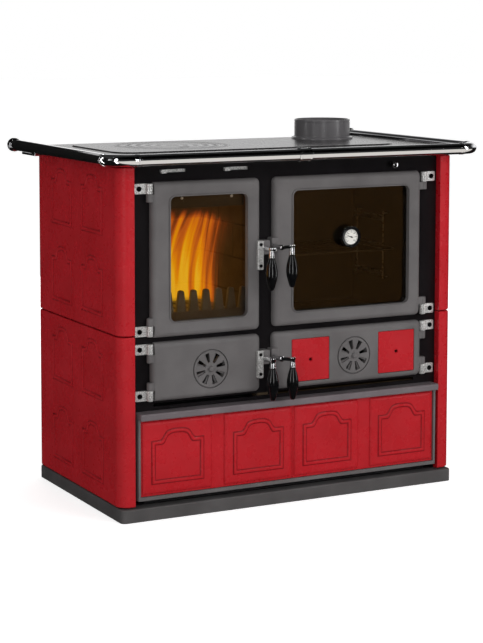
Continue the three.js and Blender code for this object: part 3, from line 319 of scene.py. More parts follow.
def tree_with(name, sockets, result):
    """An empty Geometry Nodes tree with its inputs, and the identifiers to set them by."""
    tree = bpy.data.node_groups.new(name, "GeometryNodeTree")
    ids = {}
    for socket, kind in sockets:
        made = tree.interface.new_socket(name=socket, in_out="INPUT", socket_type="NodeSocket" + kind)
        ids[socket] = made.identifier
    tree.interface.new_socket(name=result, in_out="OUTPUT", socket_type="NodeSocketGeometry")
    return tree, add(tree, "NodeGroupInput").outputs, ids


def set_on_points(tree, points, piece, rotation, coat):
    """Ends a tree: a real copy of the piece on every point, in its finish."""
    copies = add(tree, "GeometryNodeInstanceOnPoints", inputs={
        "Points": points, "Instance": piece, "Rotation": rotation})
    real = add(tree, "GeometryNodeRealizeInstances", inputs={0: copies.outputs[0]})
    coated = add(tree, "GeometryNodeSetMaterial", inputs={0: real.outputs[0], "Material": coat})
    add(tree, "NodeGroupOutput", inputs={0: coated.outputs[0]})


def row_tree():
    """Geometry nodes that repeat the piece they are given, each copy moved and turned on."""
    tree, given, ids = tree_with("row_of_pieces", (
        ("Piece", "Geometry"), ("Count", "Int"), ("Start", "Vector"), ("Step", "Vector"),
        ("Turn", "Vector"), ("Finish", "Material")), "Row")
    line = add(tree, "GeometryNodeMeshLine", inputs={
        "Count": given["Count"], "Start Location": given["Start"], "Offset": given["Step"]})
    index = add(tree, "GeometryNodeInputIndex")
    turned = add(tree, "ShaderNodeVectorMath", {"operation": "SCALE"}, {
        0: given["Turn"], "Scale": index.outputs[0]})
    set_on_points(tree, line.outputs[0], given["Piece"], turned.outputs[0], given["Finish"])
    return tree, ids


def row(obj, count, start=(0, 0, 0), step=(0, 0, 0), turn=(0, 0, 0)):
    """Repeats an object's mesh by the row tree and makes the result plain."""
    work = obj.modifiers.new("row", "NODES")
    work.node_group = repeat_tree
    for name, value in (("Count", count), ("Start", start), ("Step", step), ("Turn", turn),
                        ("Finish", obj.data.materials[0])):
        work[repeat_ids[name]] = value
    return flattened(obj)


def screw_tree():
    """Geometry nodes that set a pan-head screw on each point of a mesh."""
    tree, given, ids = tree_with("screws_at_points", (
        ("Points", "Geometry"), ("Head Radius", "Float"), ("Head Height", "Float"),
        ("Facing", "Rotation"), ("Finish", "Material")), "Screws")
    foot = add(tree, "GeometryNodeMeshCylinder", inputs={
        "Vertices": 16, "Radius": given["Head Radius"], "Depth": given["Head Height"]})
    crown_radius, top_radius, crown_height, lift = (
        add(tree, "ShaderNodeMath", {"operation": "MULTIPLY"}, {0: given[size], 1: share}).outputs[0]
        for size, share in (("Head Radius", 0.96), ("Head Radius", 0.45), ("Head Height", 0.45),
                            ("Head Height", 0.5)))
    crown = add(tree, "GeometryNodeMeshCone", inputs={
        "Vertices": 16, "Radius Top": top_radius, "Radius Bottom": crown_radius, "Depth": crown_height})
    lifted = add(tree, "ShaderNodeCombineXYZ", inputs={"Z": lift})
    raised = add(tree, "GeometryNodeTransform",
                 inputs={0: crown.outputs[0], "Translation": lifted.outputs[0]})
    head = add(tree, "GeometryNodeJoinGeometry")
    tree.links.new(foot.outputs[0], head.inputs[0])
    tree.links.new(raised.outputs[0], head.inputs[0])
    set_on_points(tree, given["Points"], head.outputs[0], given["Facing"], given["Finish"])
    return tree, ids


def screws(name, points, radius, height, material, body, slot, facing=(math.pi / 2, 0, 0)):
    """Screws of one size at these points, with their heads towards the front unless they face elsewhere."""
    mesh = bpy.data.meshes.new(name)
    mesh.from_pydata(points, [], [])
    mesh.materials.append(material)
    obj = linked(name, mesh)
    work = obj.modifiers.new("screws", "NODES")
    work.node_group = fixing_tree
    for socket, value in (("Head Radius", radius), ("Head Height", height), ("Facing", facing),
                          ("Finish", material)):
        work[fixing_ids[socket]] = value
    flattened(obj)
    return settle(shaded(obj), body, slot)


repeat_tree, repeat_ids = row_tree()
fixing_tree, fixing_ids = screw_tree()

# Screws hold the front plate, and a cover plate with air louvres is screwed on the back.
low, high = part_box("front_frame")
plate_face = low.y
screws("front_plate_screws", [(-0.417, plate_face, 0.276), (-0.325, plate_face, 0.264),
                              (0.401, plate_face, 0.283),
                              (-0.417, plate_face, 0.838), (0.417, plate_face, 0.838)],
       0.0032, 0.0022, body_paint, "root", "black_steel")

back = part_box("carcass")[1].y
cover_half, cover_foot, cover_top, cover_wall = 0.375, 0.30, 0.80, 0.0025
cover = bmesh.new()
loft(cover, [(rounded(-cover_half, cover_half, cover_foot, cover_top, 0.02), -back - 0.0002),
             (rounded(-cover_half, cover_half, cover_foot, cover_top, 0.02), -back - cover_wall * 0.7),
             (rounded(-cover_half + 0.001, cover_half - 0.001, cover_foot + 0.001, cover_top - 0.001, 0.019),
              -back - cover_wall)], on_front)
settle(shaded(bare("rear_cover", cover, body_paint)), "root", "black_steel")

# A louvre is a pressed hood: a low half-round rib that is open below.
hood_length, hood_height, hood_out = 0.09, 0.010, 0.006
hood = bmesh.new()
sections = []
for i in range(9):
    share = -1 + 2 * i / 8
    size = math.sqrt(max(1 - share ** 4, 0.02))
    sections.append(([(0, 0), (hood_out * size, hood_height * 0.15),
                      (hood_out * size * 0.85, hood_height * 0.55),
                      (0, hood_height * size)], share * hood_length / 2))
loft(hood, sections, lambda u, v, w: (w, back + cover_wall - 0.0004 + u, v))
hood = bare("rear_louvres", hood, body_paint)
columns, rows = 6, 7
row(hood, columns, (-0.30, 0, cover_foot + 0.10), (0.12, 0, 0))
row(hood, rows, step=(0, 0, 0.045))
settle(shaded(hood), "root", "black_steel")
screws("rear_cover_screws", [(x, back + cover_wall, z) for z in (cover_foot + 0.015, cover_top - 0.015)
                             for x in (-0.355, -0.18, 0.0, 0.18, 0.355)]
       + [(x, back + cover_wall, 0.55) for x in (-0.36, 0.36)],
       0.0045, 0.003, body_paint, "root", "black_steel", (-math.pi / 2, 0, 0))

# ---------------------------------------------------------------- firebox
# Refractory bricks line the firebox. A cast grate lies on their ledge, a cast comb stops the logs
# behind the door, and a sheet pan below catches the ash. There is no fire; its glow is painted on the brick.

firebrick, tree, shader = finish("firebrick", Roughness=0.9)
place = add(tree, "ShaderNodeTexCoord")
parts = add(tree, "ShaderNodeSeparateXYZ", inputs={0: place.outputs["Object"]})
along = add(tree, "ShaderNodeMath", {"operation": "ADD"}, {0: parts.outputs["X"], 1: parts.outputs["Y"]})
wall = add(tree, "ShaderNodeCombineXYZ", inputs={"X": along.outputs[0], "Y": parts.outputs["Z"]})
brick_length, brick_height, brick_joint = 0.16, 0.085, 0.0025
courses = add(tree, "ShaderNodeTexBrick", inputs={
    "Vector": wall.outputs[0], "Scale": 1.0, "Mortar Size": brick_joint, "Brick Width": brick_length,
    "Row Height": brick_height, "Color1": linear("#4C3F2F"), "Color2": linear("#5A4B38"),
    "Mortar": linear("#241D15")})
soot = add(tree, "ShaderNodeMix", {"data_type": "RGBA"}, {
    0: spread(tree, grain(tree, 0.05, 4.0), 0.1, 0.75), 6: courses.outputs["Color"], 7: linear("#2B231A")})
tree.links.new(soot.outputs[2], shader.inputs["Base Color"])
relief(tree, shader, (grain(tree, 0.004, 5.0), 0.0006), (courses.outputs["Fac"], -0.0012))

# Painted firelight: the rear wall and the side wall beside it glow in long soft streaks that bend to the
# right as they rise, yellow low on the left and orange above, and that die away under the smoke's way out.
painted_flame_foot, painted_flame_bend, painted_flame_top = 0.50, 2.6, 0.70
streaks_across, streaks_up = 46, 3.6
grate_foot, grate_top = 0.455, 0.475
painted_light_at_foot, painted_light_at_top = 1.16, 0.50
tip_below, tip_above = 0.024, 0.014
faint_streak, strong_streak = 0.55, 1.32
round_corner = add(tree, "ShaderNodeMath", {"operation": "SUBTRACT"}, {
    0: parts.outputs["X"], 1: parts.outputs["Y"]})
above_foot = add(tree, "ShaderNodeMath", {"operation": "SUBTRACT"}, {0: parts.outputs["Z"], 1: painted_flame_foot})
bend = add(tree, "ShaderNodeMath", {"operation": "MULTIPLY"},
           {0: above_foot.outputs[0], 1: above_foot.outputs[0]})
lean = add(tree, "ShaderNodeMath", {"operation": "MULTIPLY_ADD"}, {
    0: bend.outputs[0], 1: -painted_flame_bend, 2: round_corner.outputs[0]})
streak_lean = add(tree, "ShaderNodeMath", {"operation": "MULTIPLY_ADD"}, {
    0: bend.outputs[0], 1: -painted_flame_bend / 2, 2: round_corner.outputs[0]})
streak_place = add(tree, "ShaderNodeCombineXYZ",
                   inputs={"X": streak_lean.outputs[0], "Z": parts.outputs["Z"]})
streak_stretch = add(tree, "ShaderNodeMapping", inputs={
    "Vector": streak_place.outputs[0], "Scale": (streaks_across, 1, streaks_up)})
streaks = add(tree, "ShaderNodeTexNoise", inputs={
    "Vector": streak_stretch.outputs[0], "Scale": 1.0, "Detail": 2.0, "Roughness": 0.5, "Distortion": 0.5})
painted_flame_core, painted_flame_edge = -0.250, -0.035
painted_flame_body = spread(tree, lean.outputs[0], 1.0, 0.0, painted_flame_core, painted_flame_edge)
height_loss = spread(tree, parts.outputs["Z"], painted_light_at_foot, painted_light_at_top, painted_flame_foot, painted_flame_top)
tip_loss = spread(tree, parts.outputs["Z"], 1.0, 0.0, painted_flame_top - tip_below, painted_flame_top + tip_above)
strength = add(tree, "ShaderNodeMath", {"operation": "MULTIPLY"}, {0: painted_flame_body, 1: height_loss})
strength = add(tree, "ShaderNodeMath", {"operation": "MULTIPLY"}, {0: strength.outputs[0], 1: tip_loss})
wavering = spread(tree, streaks.outputs["Fac"], faint_streak, strong_streak)
painted_firelight = add(tree, "ShaderNodeMath", {"operation": "MULTIPLY"}, {0: strength.outputs[0], 1: wavering})
glow = add(tree, "ShaderNodeValToRGB", inputs={"Fac": painted_firelight.outputs[0]})
ramp = glow.color_ramp
for position, colour in ((0.08, "#120B05"), (0.22, "#3C1B0C"), (0.36, "#8A3A12"), (0.50, "#C8601A"),
                         (0.66, "#E8840E"), (0.82, "#F5A404"), (0.97, "#FDC428")):
    stop = ramp.elements.new(position)
    stop.color = linear(colour)
ramp.elements[0].color = (0, 0, 0, 1)
ramp.elements.remove(ramp.elements[-1])
# The brick itself glows with this painted firelight, and only above the grate.
tree.links.new(glow.outputs[0], shader.inputs["Emission Color"])
inside = spread(tree, parts.outputs["Z"], 0.0, 1.0, grate_foot, grate_top)
tree.links.new(inside, shader.inputs["Emission Strength"])
dressed("firebox_lining", "root", "firebrick", firebrick, 0.001)

# Cast iron that was sprayed with grey paint: a faintly pitted skin with slow changes of tone.
cast_iron = stove_paint("painted_cast_iron", "#5C5959", "#686565", 0.5, 0.0016, 0.00012)
dressed("fire_grate", "root", "cast_grey", cast_iron)

# The comb behind the door: tapered teeth with rounded edges on a sill that slopes to the front.
low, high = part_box("log_guard")
teeth = 7
sill_top = low.z + 0.022
guard_wall = 0.012
tooth_foot, tooth_tip = 0.027, 0.015
guard_pitch = (high.x - low.x - 0.020) / teeth
guard_rear = high.y
guard = bmesh.new()
first = (low.x + high.x) / 2 - guard_pitch * (teeth - 1) / 2
outline_steps = 4
tooth_outline = [(-tooth_foot / 2, sill_top - 0.002), (tooth_foot / 2, sill_top - 0.002)]
for i in range(2 * outline_steps + 1):
    angle = math.pi * i / (2 * outline_steps)
    tooth_outline.append((tooth_tip / 2 * math.cos(angle) * 0.98, high.z - 0.005 + 0.005 * math.sin(angle)))
middle_height = (sill_top + high.z) / 2


def drawn_in(outline, inset):
    """The tooth's outline drawn in towards its middle line."""
    return [(u - math.copysign(min(inset, abs(u)), u), min(v, high.z - inset) if v > middle_height else v)
            for u, v in outline]


loft(guard, [(drawn_in(tooth_outline, 0.002), -guard_rear), (tooth_outline, -guard_rear + 0.002),
             (tooth_outline, -guard_rear + guard_wall - 0.002),
             (drawn_in(tooth_outline, 0.002), -guard_rear + guard_wall)],
     lambda u, v, w: (first + u, -w, v))
comb = row(bare("log_guard_teeth", guard, cast_iron), teeth, step=(guard_pitch, 0, 0))
settle(shaded(comb, smooth=50), "root", "cast_grey", "log_guard")
sill = bmesh.new()
sill_face = guard_rear - guard_wall
sill_outline = [(low.y, low.z), (guard_rear, low.z), (guard_rear, sill_top), (sill_face - 0.001, sill_top),
                (low.y + 0.002, low.z + 0.006), (low.y, low.z + 0.004)]
loft(sill, [(sill_outline, low.x), (sill_outline, high.x)], on_right)
settle(shaded(bare("log_guard_sill", sill, cast_iron), 0.0015), "root", "cast_grey")

# Sheet steel, deep-drawn and left plain: a dull grey shine with a drawn grain.
sheet_steel = toned("plain_steel_sheet", (0.02, 4.0, (1, 1, 6)), "#7A7C7F", "#8E9093",
                    (0.004, 3.0, (1, 1, 12)), 0.28, 0.42, Metallic=1.0)
dressed("ash_pan", "root", "bare_steel", sheet_steel, 0.0006)

# ---------------------------------------------------------------- oven and service compartment
# Both boxes are pressed from sheet and fused with a near-black enamel. Wire ladders on the oven's
# walls hold a wire shelf at one of their heights.

oven_enamel = toned("oven_enamel", (0.05,), "#2A2013", "#362A1A", (0.02,), 0.3, 0.42)
dressed("service_box", "root", "dark_enamel", oven_enamel, 0.0006)

low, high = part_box("oven_box")
box_wall = 0.004
inner_corner = 0.012
oven = bmesh.new()


def box_section(grow, radius):
    return rounded(low.x + grow, high.x - grow, low.z + grow, high.z - grow, radius)


loft(oven, [(box_section(0, 0.003), -high.y), (box_section(0, 0.003), -low.y),
            (box_section(box_wall, inner_corner), -low.y),
            (box_section(box_wall, inner_corner), -high.y + box_wall + 0.010),
            (box_section(box_wall + 0.003, inner_corner), -high.y + box_wall + 0.003),
            (box_section(box_wall + 0.010, inner_corner), -high.y + box_wall)], on_front)
settle(shaded(bare("oven_box_made", oven, oven_enamel), smooth=30), "root", "dark_enamel", "oven_box")

# Bright zinc-plated wire, drawn and spot-welded.
bright_wire = toned("zinc_plated_wire", (0.01,), "#8F918F", "#A9ABA9", (0.004,), 0.22, 0.36, Metallic=1.0)


def rod(made, start, end, radius, sides=10):
    """A straight round wire with rounded ends."""
    start, end = Vector(start), Vector(end)
    along = (end - start).normalized()
    side = along.orthogonal().normalized()
    other = along.cross(side)
    length = (end - start).length
    tip = radius * 0.4
    rings = []
    for reach, size in ((0, radius - tip), (tip, radius), (length - tip, radius), (length, radius - tip)):
        centre = start + along * reach
        rings.append([made.verts.new(centre + (side * math.cos(2 * math.pi * i / sides)
                                               + other * math.sin(2 * math.pi * i / sides)) * size)
                      for i in range(sides)])
    for first_ring, next_ring in zip(rings, rings[1:]):
        for i in range(sides):
            made.faces.new((first_ring[i], first_ring[(i + 1) % sides], next_ring[(i + 1) % sides],
                            next_ring[i]))
    made.faces.new(list(reversed(rings[0])))
    made.faces.new(rings[-1])


ladder_front, ladder_back, ladder_foot, ladder_top, wire = -0.100, 0.030, 0.514, 0.692, 0.0021
rack_low, rack_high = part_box("oven_rack")
for side, name, wall_x in ((1, "left", low.x + box_wall), (-1, "right", high.x - box_wall)):
    upright_x = wall_x + side * 0.014
    guide_x = wall_x + side * 0.0205
    ladder = bmesh.new()
    for y in (ladder_front, ladder_back):
        rod(ladder, (upright_x, y, ladder_foot), (upright_x, y, ladder_top), wire)
        for z in (ladder_foot + 0.005, ladder_top - 0.005):
            rod(ladder, (wall_x - side * 0.001, y, z), (upright_x, y, z), wire)
    settle(shaded(bare(f"oven_ladder_{name}", ladder, bright_wire), smooth=50), "root", "bare_steel")
    for level, pair in enumerate((0.526, rack_low.z, 0.672)):
        guide = bmesh.new()
        rod(guide, (guide_x, ladder_front - 0.004, pair - wire),
            (guide_x, ladder_back + 0.004, pair - wire), wire)
        guides = row(bare(f"oven_guides_{name}_{level}", guide, bright_wire), 2,
                     step=(0, 0, rack_high.z - rack_low.z + 2 * wire + 0.001))
        settle(shaded(guides, smooth=50), "root", "bare_steel")

# The shelf: a bent rim with thin cross wires that are welded on it.
shelf_wire = toned("oven_browned_wire", (0.01,), "#3A352F", "#4A453E", (0.004,), 0.35, 0.5, Metallic=0.8)
rim_wire = (rack_high.z - rack_low.z) / 2
rim_level = rack_low.z + rim_wire
rim = bmesh.new()
corners = rounded(rack_low.x + rim_wire, rack_high.x - rim_wire, rack_low.y + rim_wire,
                  rack_high.y - rim_wire, 0.016)
sides = 10
rings = []
for i, (x, y) in enumerate(corners):
    before, after = corners[i - 1], corners[(i + 1) % len(corners)]
    along = Vector((after[0] - before[0], after[1] - before[1], 0)).normalized()
    across = Vector((along.y, -along.x, 0))
    rings.append([rim.verts.new(Vector((x, y, rim_level)) + (across * math.cos(2 * math.pi * s / sides)
                  + Vector((0, 0, 1)) * math.sin(2 * math.pi * s / sides)) * rim_wire) for s in range(sides)])
for i, ring in enumerate(rings):
    following = rings[(i + 1) % len(rings)]
    for s in range(sides):
        rim.faces.new((ring[s], ring[(s + 1) % sides], following[(s + 1) % sides], following[s]))
settle(shaded(bare("oven_shelf_rim", rim, shelf_wire), smooth=60), "root", "bare_steel", "oven_rack")
shelf_bars = 17
bar = bmesh.new()
bar_step = (rack_high.x - rack_low.x - 2 * rim_wire) / (shelf_bars + 1)
bar_x = rack_low.x + rim_wire + bar_step
rod(bar, (bar_x, rack_low.y + rim_wire, rim_level + 0.0012),
    (bar_x, rack_high.y - rim_wire, rim_level + 0.0012), 0.0014, 8)
bars = row(bare("oven_shelf_bars", bar, shelf_wire), shelf_bars, step=(bar_step, 0, 0))
settle(shaded(bars, smooth=60), "root", "bare_steel")

# ---------------------------------------------------------------- side panels
# Each side has two tall ceramic panels, cast in moulds and glazed deep red. Arched beads stand on
# them, and the glaze lies thick and soft round the beads and the turned front and rear edges.

# Majolica glaze is a glass coat over clay: a wet shine, slight waves and clouds in a deep colour.
# The creases at a bead's feet are painted darker: partly glaze that pools there, partly painted shade.
red_glaze, tree, shader = finish("red_majolica_glaze", Roughness=0.28)
pool_and_shade_mask = add(tree, "ShaderNodeAttribute", {"attribute_name": "crease_pool_and_shade"})
coloured = add(tree, "ShaderNodeMix", {"data_type": "RGBA"}, {
    0: pool_and_shade_mask.outputs["Fac"], 6: between(tree, grain(tree, 0.12, 1.0), "#AC1820", "#B61D26"),
    7: linear("#5A080E")})
tree.links.new(coloured.outputs[2], shader.inputs["Base Color"])
tree.links.new(spread(tree, grain(tree, 0.03), 0.24, 0.32), shader.inputs["Roughness"])
relief(tree, shader, (grain(tree, 0.05, 1.0), 0.0003))

panel_corner, panel_wall, panel_return, panel_lip = 0.026, 0.014, 0.040, 0.0035
# Inset and rise in millimetres, and how dark the crease is painted, for pooled glaze and painted shade.
bead_section = ((-2.2, -1.0, 0.0), (-2.2, 0.04, 0.0), (-0.9, 0.06, 1.0), (0.3, 0.4, 1.0), (1.2, 1.7, 0.3),
                (2.2, 2.4, 0.0), (4.5, 2.6, 0.0), (6.8, 2.4, 0.0), (7.8, 1.7, 0.3), (8.7, 0.4, 1.0),
                (9.9, 0.06, 1.0), (11.2, 0.04, 0.0), (11.2, -1.0, 0.0))


def arch(left_edge, right_edge, foot, shoulder, apex, inset=0.0, steps=14):
    """A cathedral arch: straight foot and sides, and an ogee that rises between two shoulders."""
    left_edge, right_edge = left_edge + inset, right_edge - inset
    shoulder, apex = shoulder - inset, apex - inset
    middle = (left_edge + right_edge) / 2
    half = (right_edge - left_edge) * 0.36
    outline = [(left_edge, foot + inset), (right_edge, foot + inset), (right_edge, shoulder)]
    for i in range(-steps, steps + 1):
        share = 1 - abs(i) / steps
        ease = min(share / 0.42, 1)
        ease = ease * ease * (3 - 2 * ease)
        outline.append((middle - half * i / steps,
                        shoulder + (apex - shoulder) * (1 - (1 - share) ** 3) * ease))
    outline.append((left_edge, shoulder))
    return outline


def arch_bead(made, edges, face, place, pool_and_shade_share):
    """The soft bead that draws an arch, as a closed ring with its foot sunk in the panel."""
    crease_pool_and_shade = made.verts.layers.float.get("crease_pool_and_shade") or made.verts.layers.float.new("crease_pool_and_shade")
    before = len(made.verts)
    levels = [(arch(*edges, inset=inset / 1000), face + rise / 1000) for inset, rise, depth in bead_section]
    loft(made, levels, place, closed=True)
    made.verts.ensure_lookup_table()
    count = len(levels[0][0])
    # The rings in a bead's creases carry painted shade, together with the glaze that pools there.
    for i, (inset, rise, depth) in enumerate(bead_section):
        for vert in made.verts[before + i * count:before + (i + 1) * count]:
            vert[crease_pool_and_shade] = depth * pool_and_shade_share


side_arch = {"width": 0.130, "front": -0.160, "rear": 0.032, "shoulder": 0.112, "rise": 0.028}
arch_feet = {"lower": (0.075, 0.278), "upper": (0.482, 0.678)}


def panel_plan(side, outer_x, inner_x, front_y, rear_y, inset):
    """Plan of a panel: a wall with a short return round the front and round the back."""
    outer = outer_x - inset
    corner = panel_corner
    plan = [(inner_x, front_y + inset)]
    for i in range(9):
        angle = math.pi / 2 * i / 8
        plan.append((outer - corner + corner * math.sin(angle),
                     front_y + inset + corner - corner * math.cos(angle)))
    for i in range(9):
        angle = math.pi / 2 * i / 8
        plan.append((outer - corner + corner * math.cos(angle),
                     rear_y - inset - corner + corner * math.sin(angle)))
    wall_x = outer_x - panel_wall
    plan += [(inner_x, rear_y - inset), (inner_x, rear_y - panel_wall), (wall_x, rear_y - panel_wall),
             (wall_x, front_y + 0.0197), (inner_x, front_y + 0.0197)]
    points = [(side * x, y) for x, y in plan]
    return points if side > 0 else list(reversed(points))


for side, word, place in ((-1, "left", on_left), (1, "right", on_right)):
    for course in ("lower", "upper"):
        node = f"side_panel_{word}_{course}"
        low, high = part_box(node)
        bead_rise = 0.0026
        outer_x = max(abs(low.x), abs(high.x)) - bead_rise
        inner_x = outer_x - panel_return
        panel = bmesh.new()
        lip = eased(panel_lip, 4)
        levels = [(panel_plan(side, outer_x, inner_x, low.y, high.y, inset), low.z + panel_lip - rise)
                  for inset, rise in reversed(lip)]
        levels += [(panel_plan(side, outer_x, inner_x, low.y, high.y, inset), high.z - panel_lip + rise)
                   for inset, rise in lip]
        loft(panel, levels, on_plan)
        for foot in arch_feet[course]:
            for near in (side_arch["front"], side_arch["rear"]):
                if side < 0:
                    edges = (-near - side_arch["width"], -near)
                else:
                    edges = (near, near + side_arch["width"])
                arch_bead(panel, (*edges, foot, foot + side_arch["shoulder"],
                                  foot + side_arch["shoulder"] + side_arch["rise"]), outer_x, place, 0.45)
        settle(shaded(bare(node + "_made", panel, red_glaze), smooth=50), "root", "glazed_red", node)

# ---------------------------------------------------------------- cooktop
# The frame and the cooking plate are cast iron, ground flat and polished to a satin. A ring and a
# lid lift out over the fire, and the flue collar stands on the plate's right rear corner.

# Ground iron: a grey half-mirror, blurred along the grinding marks, with faint blue-brown clouds.
ground_iron = toned("ground_cast_iron", (0.05, 5.0), "#6A6768", "#7C797A",
                    (0.006, 4.0, (1, 8, 1)), 0.2, 0.34, Metallic=0.85)

low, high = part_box("cooktop_frame")
plate_low, plate_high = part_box("cooking_plate")
top_corner, top_edge, plate_corner, plate_gap, ledge = 0.046, 0.005, 0.058, 0.0003, 0.014


def top_outline(inset):
    return rounded(low.x + inset, high.x - inset, low.y + inset, high.y - inset, top_corner - inset, 8)


def pocket_outline(inset):
    return rounded(plate_low.x + inset, plate_high.x - inset, plate_low.y + inset, plate_high.y - inset,
                   plate_corner - inset, 8)


levels = [(top_outline(inset), low.z + top_edge - rise) for inset, rise in reversed(eased(top_edge))]
levels += [(top_outline(inset), high.z - top_edge + rise) for inset, rise in eased(top_edge)]
levels += [(pocket_outline(-plate_gap - 0.0008), high.z), (pocket_outline(-plate_gap), high.z - 0.0008),
           (pocket_outline(-plate_gap), plate_low.z - plate_gap),
           (pocket_outline(ledge), plate_low.z - plate_gap), (pocket_outline(ledge), low.z)]
top_frame = bmesh.new()
loft(top_frame, levels, on_plan, closed=True)
settle(shaded(bare("cooktop_frame_made", top_frame, ground_iron), smooth=30), "root", "cooktop_iron",
       "cooktop_frame")
dressed("cooking_plate", "root", "cooktop_iron", ground_iron, 0.0012, 3)


def lathe(made, profile, place, segments=48):
    """Turns (radius, w) points about the w axis. A radius of zero closes the shape in a pole."""
    rings = []
    for radius, w in profile:
        if radius == 0:
            rings.append([made.verts.new(place(0, 0, w))])
        else:
            rings.append([made.verts.new(place(radius * math.cos(2 * math.pi * i / segments),
                                               radius * math.sin(2 * math.pi * i / segments), w))
                          for i in range(segments)])
    pairs = list(zip(rings, rings[1:]))
    if len(rings[0]) > 1:
        pairs.append((rings[-1], rings[0]))
    for one, other in pairs:
        for i in range(segments):
            j = (i + 1) % segments
            if len(one) == 1:
                made.faces.new((one[0], other[i], other[j]))
            elif len(other) == 1:
                made.faces.new((one[i], one[j], other[0]))
            else:
                made.faces.new((one[i], one[j], other[j], other[i]))
    return made


# The ring and the lid are turned on a lathe, so the marks on them run in circles.
ring_low, ring_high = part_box("hotplate_ring")
fire_x, fire_y = (ring_low.x + ring_high.x) / 2, (ring_low.y + ring_high.y) / 2
turned_iron, tree, shader = finish("turned_cast_iron", Metallic=0.85)
place = add(tree, "ShaderNodeTexCoord")
centred = add(tree, "ShaderNodeMapping", inputs={"Vector": place.outputs["Object"],
                                                 "Location": (-fire_x, -fire_y, 0)})
groove_pitch = 0.004
circles = add(tree, "ShaderNodeTexWave", {"wave_type": "RINGS", "rings_direction": "Z"}, {
    "Vector": centred.outputs[0], "Scale": 1 / (groove_pitch * 20), "Distortion": 0.2, "Detail": 1.0})
tree.links.new(between(tree, grain(tree, 0.05, 5.0), "#5F5C5D", "#726F70"), shader.inputs["Base Color"])
tree.links.new(spread(tree, circles.outputs["Fac"], 0.22, 0.34, 0.0, 1.0), shader.inputs["Roughness"])
relief(tree, shader, (circles.outputs["Fac"], 0.00008))


lid_low, lid_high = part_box("hotplate_lid")
lid_radius = (lid_high.x - lid_low.x) / 2
ring_radius = (ring_high.x - ring_low.x) / 2
seat_radius = ring_radius - 0.013
seat_z = ring_high.z - 0.006
inner_radius, inner_step = lid_radius - 0.010, lid_radius + 0.0003
ring = bmesh.new()
profile = [(inner_radius, ring_low.z), (seat_radius, ring_low.z), (seat_radius, seat_z),
           (ring_radius, seat_z), (ring_radius, ring_high.z - 0.001), (ring_radius - 0.001, ring_high.z)]
for groove in (0.030, 0.016):
    centre = (ring_radius + inner_step) / 2 + groove - 0.023
    profile += [(centre + 0.0016, ring_high.z), (centre + 0.0006, ring_high.z - 0.0011),
                (centre - 0.0006, ring_high.z - 0.0011), (centre - 0.0016, ring_high.z)]
profile += [(inner_step + 0.001, ring_high.z), (inner_step, ring_high.z - 0.001),
            (inner_step, lid_low.z - 0.0003), (inner_radius, lid_low.z - 0.0003)]
lathe(ring, profile, upright_at(fire_x, fire_y), 96)
settle(shaded(bare("hotplate_ring_made", ring, turned_iron), smooth=35), "hotplate_ring", "cooktop_iron",
       "hotplate_ring")
dressed("hotplate_lid", "hotplate_lid", "cooktop_iron", turned_iron, 0.0008, 3)

# The collar is a short pipe with a flange, coated with charcoal paint that is rubbed to a satin.
collar_paint = stove_paint("collar_satin_paint", "#605E60", "#6A686A", 0.22, 0.002, 0.00002)
low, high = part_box("flue_collar")
flue_x, flue_y = (low.x + high.x) / 2, (low.y + high.y) / 2
flange = (high.x - low.x) / 2
pipe, bore = flange - 0.008, flange - 0.013
collar = bmesh.new()
lathe(collar, [(bore, low.z), (flange, low.z), (flange, low.z + 0.0035), (flange - 0.0008, low.z + 0.0052),
               (flange - 0.0025, low.z + 0.006), (pipe + 0.002, low.z + 0.006),
               (pipe + 0.0006, low.z + 0.0066),
               (pipe, low.z + 0.008), (pipe, high.z - 0.0085), (pipe - 0.0007, high.z - 0.008),
               (pipe - 0.0007, high.z - 0.0065), (pipe, high.z - 0.006), (pipe, high.z - 0.0012),
               (pipe - 0.0012, high.z), (bore + 0.0012, high.z), (bore, high.z - 0.0012)],
      upright_at(flue_x, flue_y), 72)
settle(shaded(bare("flue_collar_made", collar, collar_paint), smooth=40), "root", "black_steel",
       "flue_collar")

# ---------------------------------------------------------------- hand rail
# A chrome-plated steel tube runs round the front and both sides of the cooktop. A sleeve ties its
# middle to the cooktop's edge, and a bracket under each arm carries it at the back.

# Chrome on polished steel: a clear mirror, black where it meets the dark cards and white above them.
chrome, tree, shader = finish("polished_chrome", Metallic=1.0, Base_color=linear("#E4E4E6"))
tree.links.new(spread(tree, grain(tree, 0.03), 0.04, 0.08), shader.inputs["Roughness"])

low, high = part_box("handrail")
rail_level = (low.z + high.z) / 2
cap_radius = (high.z - low.z) / 2
tube = 0.014
rail_x = high.x - cap_radius
rail_front = low.y + tube
rail_bend = 0.058
cap_length = 0.016
route = [Vector((-rail_x, high.y - cap_length / 2, rail_level))]
for centre_x, start in ((-rail_x + rail_bend, 180), (rail_x - rail_bend, 270)):
    for i in range(17):
        angle = math.radians(start + 90 * i / 16)
        route.append(Vector((centre_x + rail_bend * math.cos(angle),
                             rail_front + rail_bend + rail_bend * math.sin(angle), rail_level)))
route.append(Vector((rail_x, high.y - cap_length / 2, rail_level)))


def tube_along(made, points, radius, sides=28, up=(0, 0, 1)):
    """A round tube with closed ends through points whose bends lie square to `up`."""
    up = Vector(up)
    rings = []
    for i, point in enumerate(points):
        along = (points[min(i + 1, len(points) - 1)] - points[max(i - 1, 0)]).normalized()
        across = along.cross(up).normalized()
        over = across.cross(along)
        rings.append([made.verts.new(point + (across * math.cos(2 * math.pi * s / sides)
                                              + over * math.sin(2 * math.pi * s / sides)) * radius)
                      for s in range(sides)])
    for one, other in zip(rings, rings[1:]):
        for s in range(sides):
            made.faces.new((one[s], one[(s + 1) % sides], other[(s + 1) % sides], other[s]))
    made.faces.new(list(reversed(rings[0])))
    made.faces.new(rings[-1])
    return made


rail = bmesh.new()
tube_along(rail, route, tube)
settle(shaded(bare("handrail_made", rail, chrome), smooth=50), "root", "chrome", "handrail")

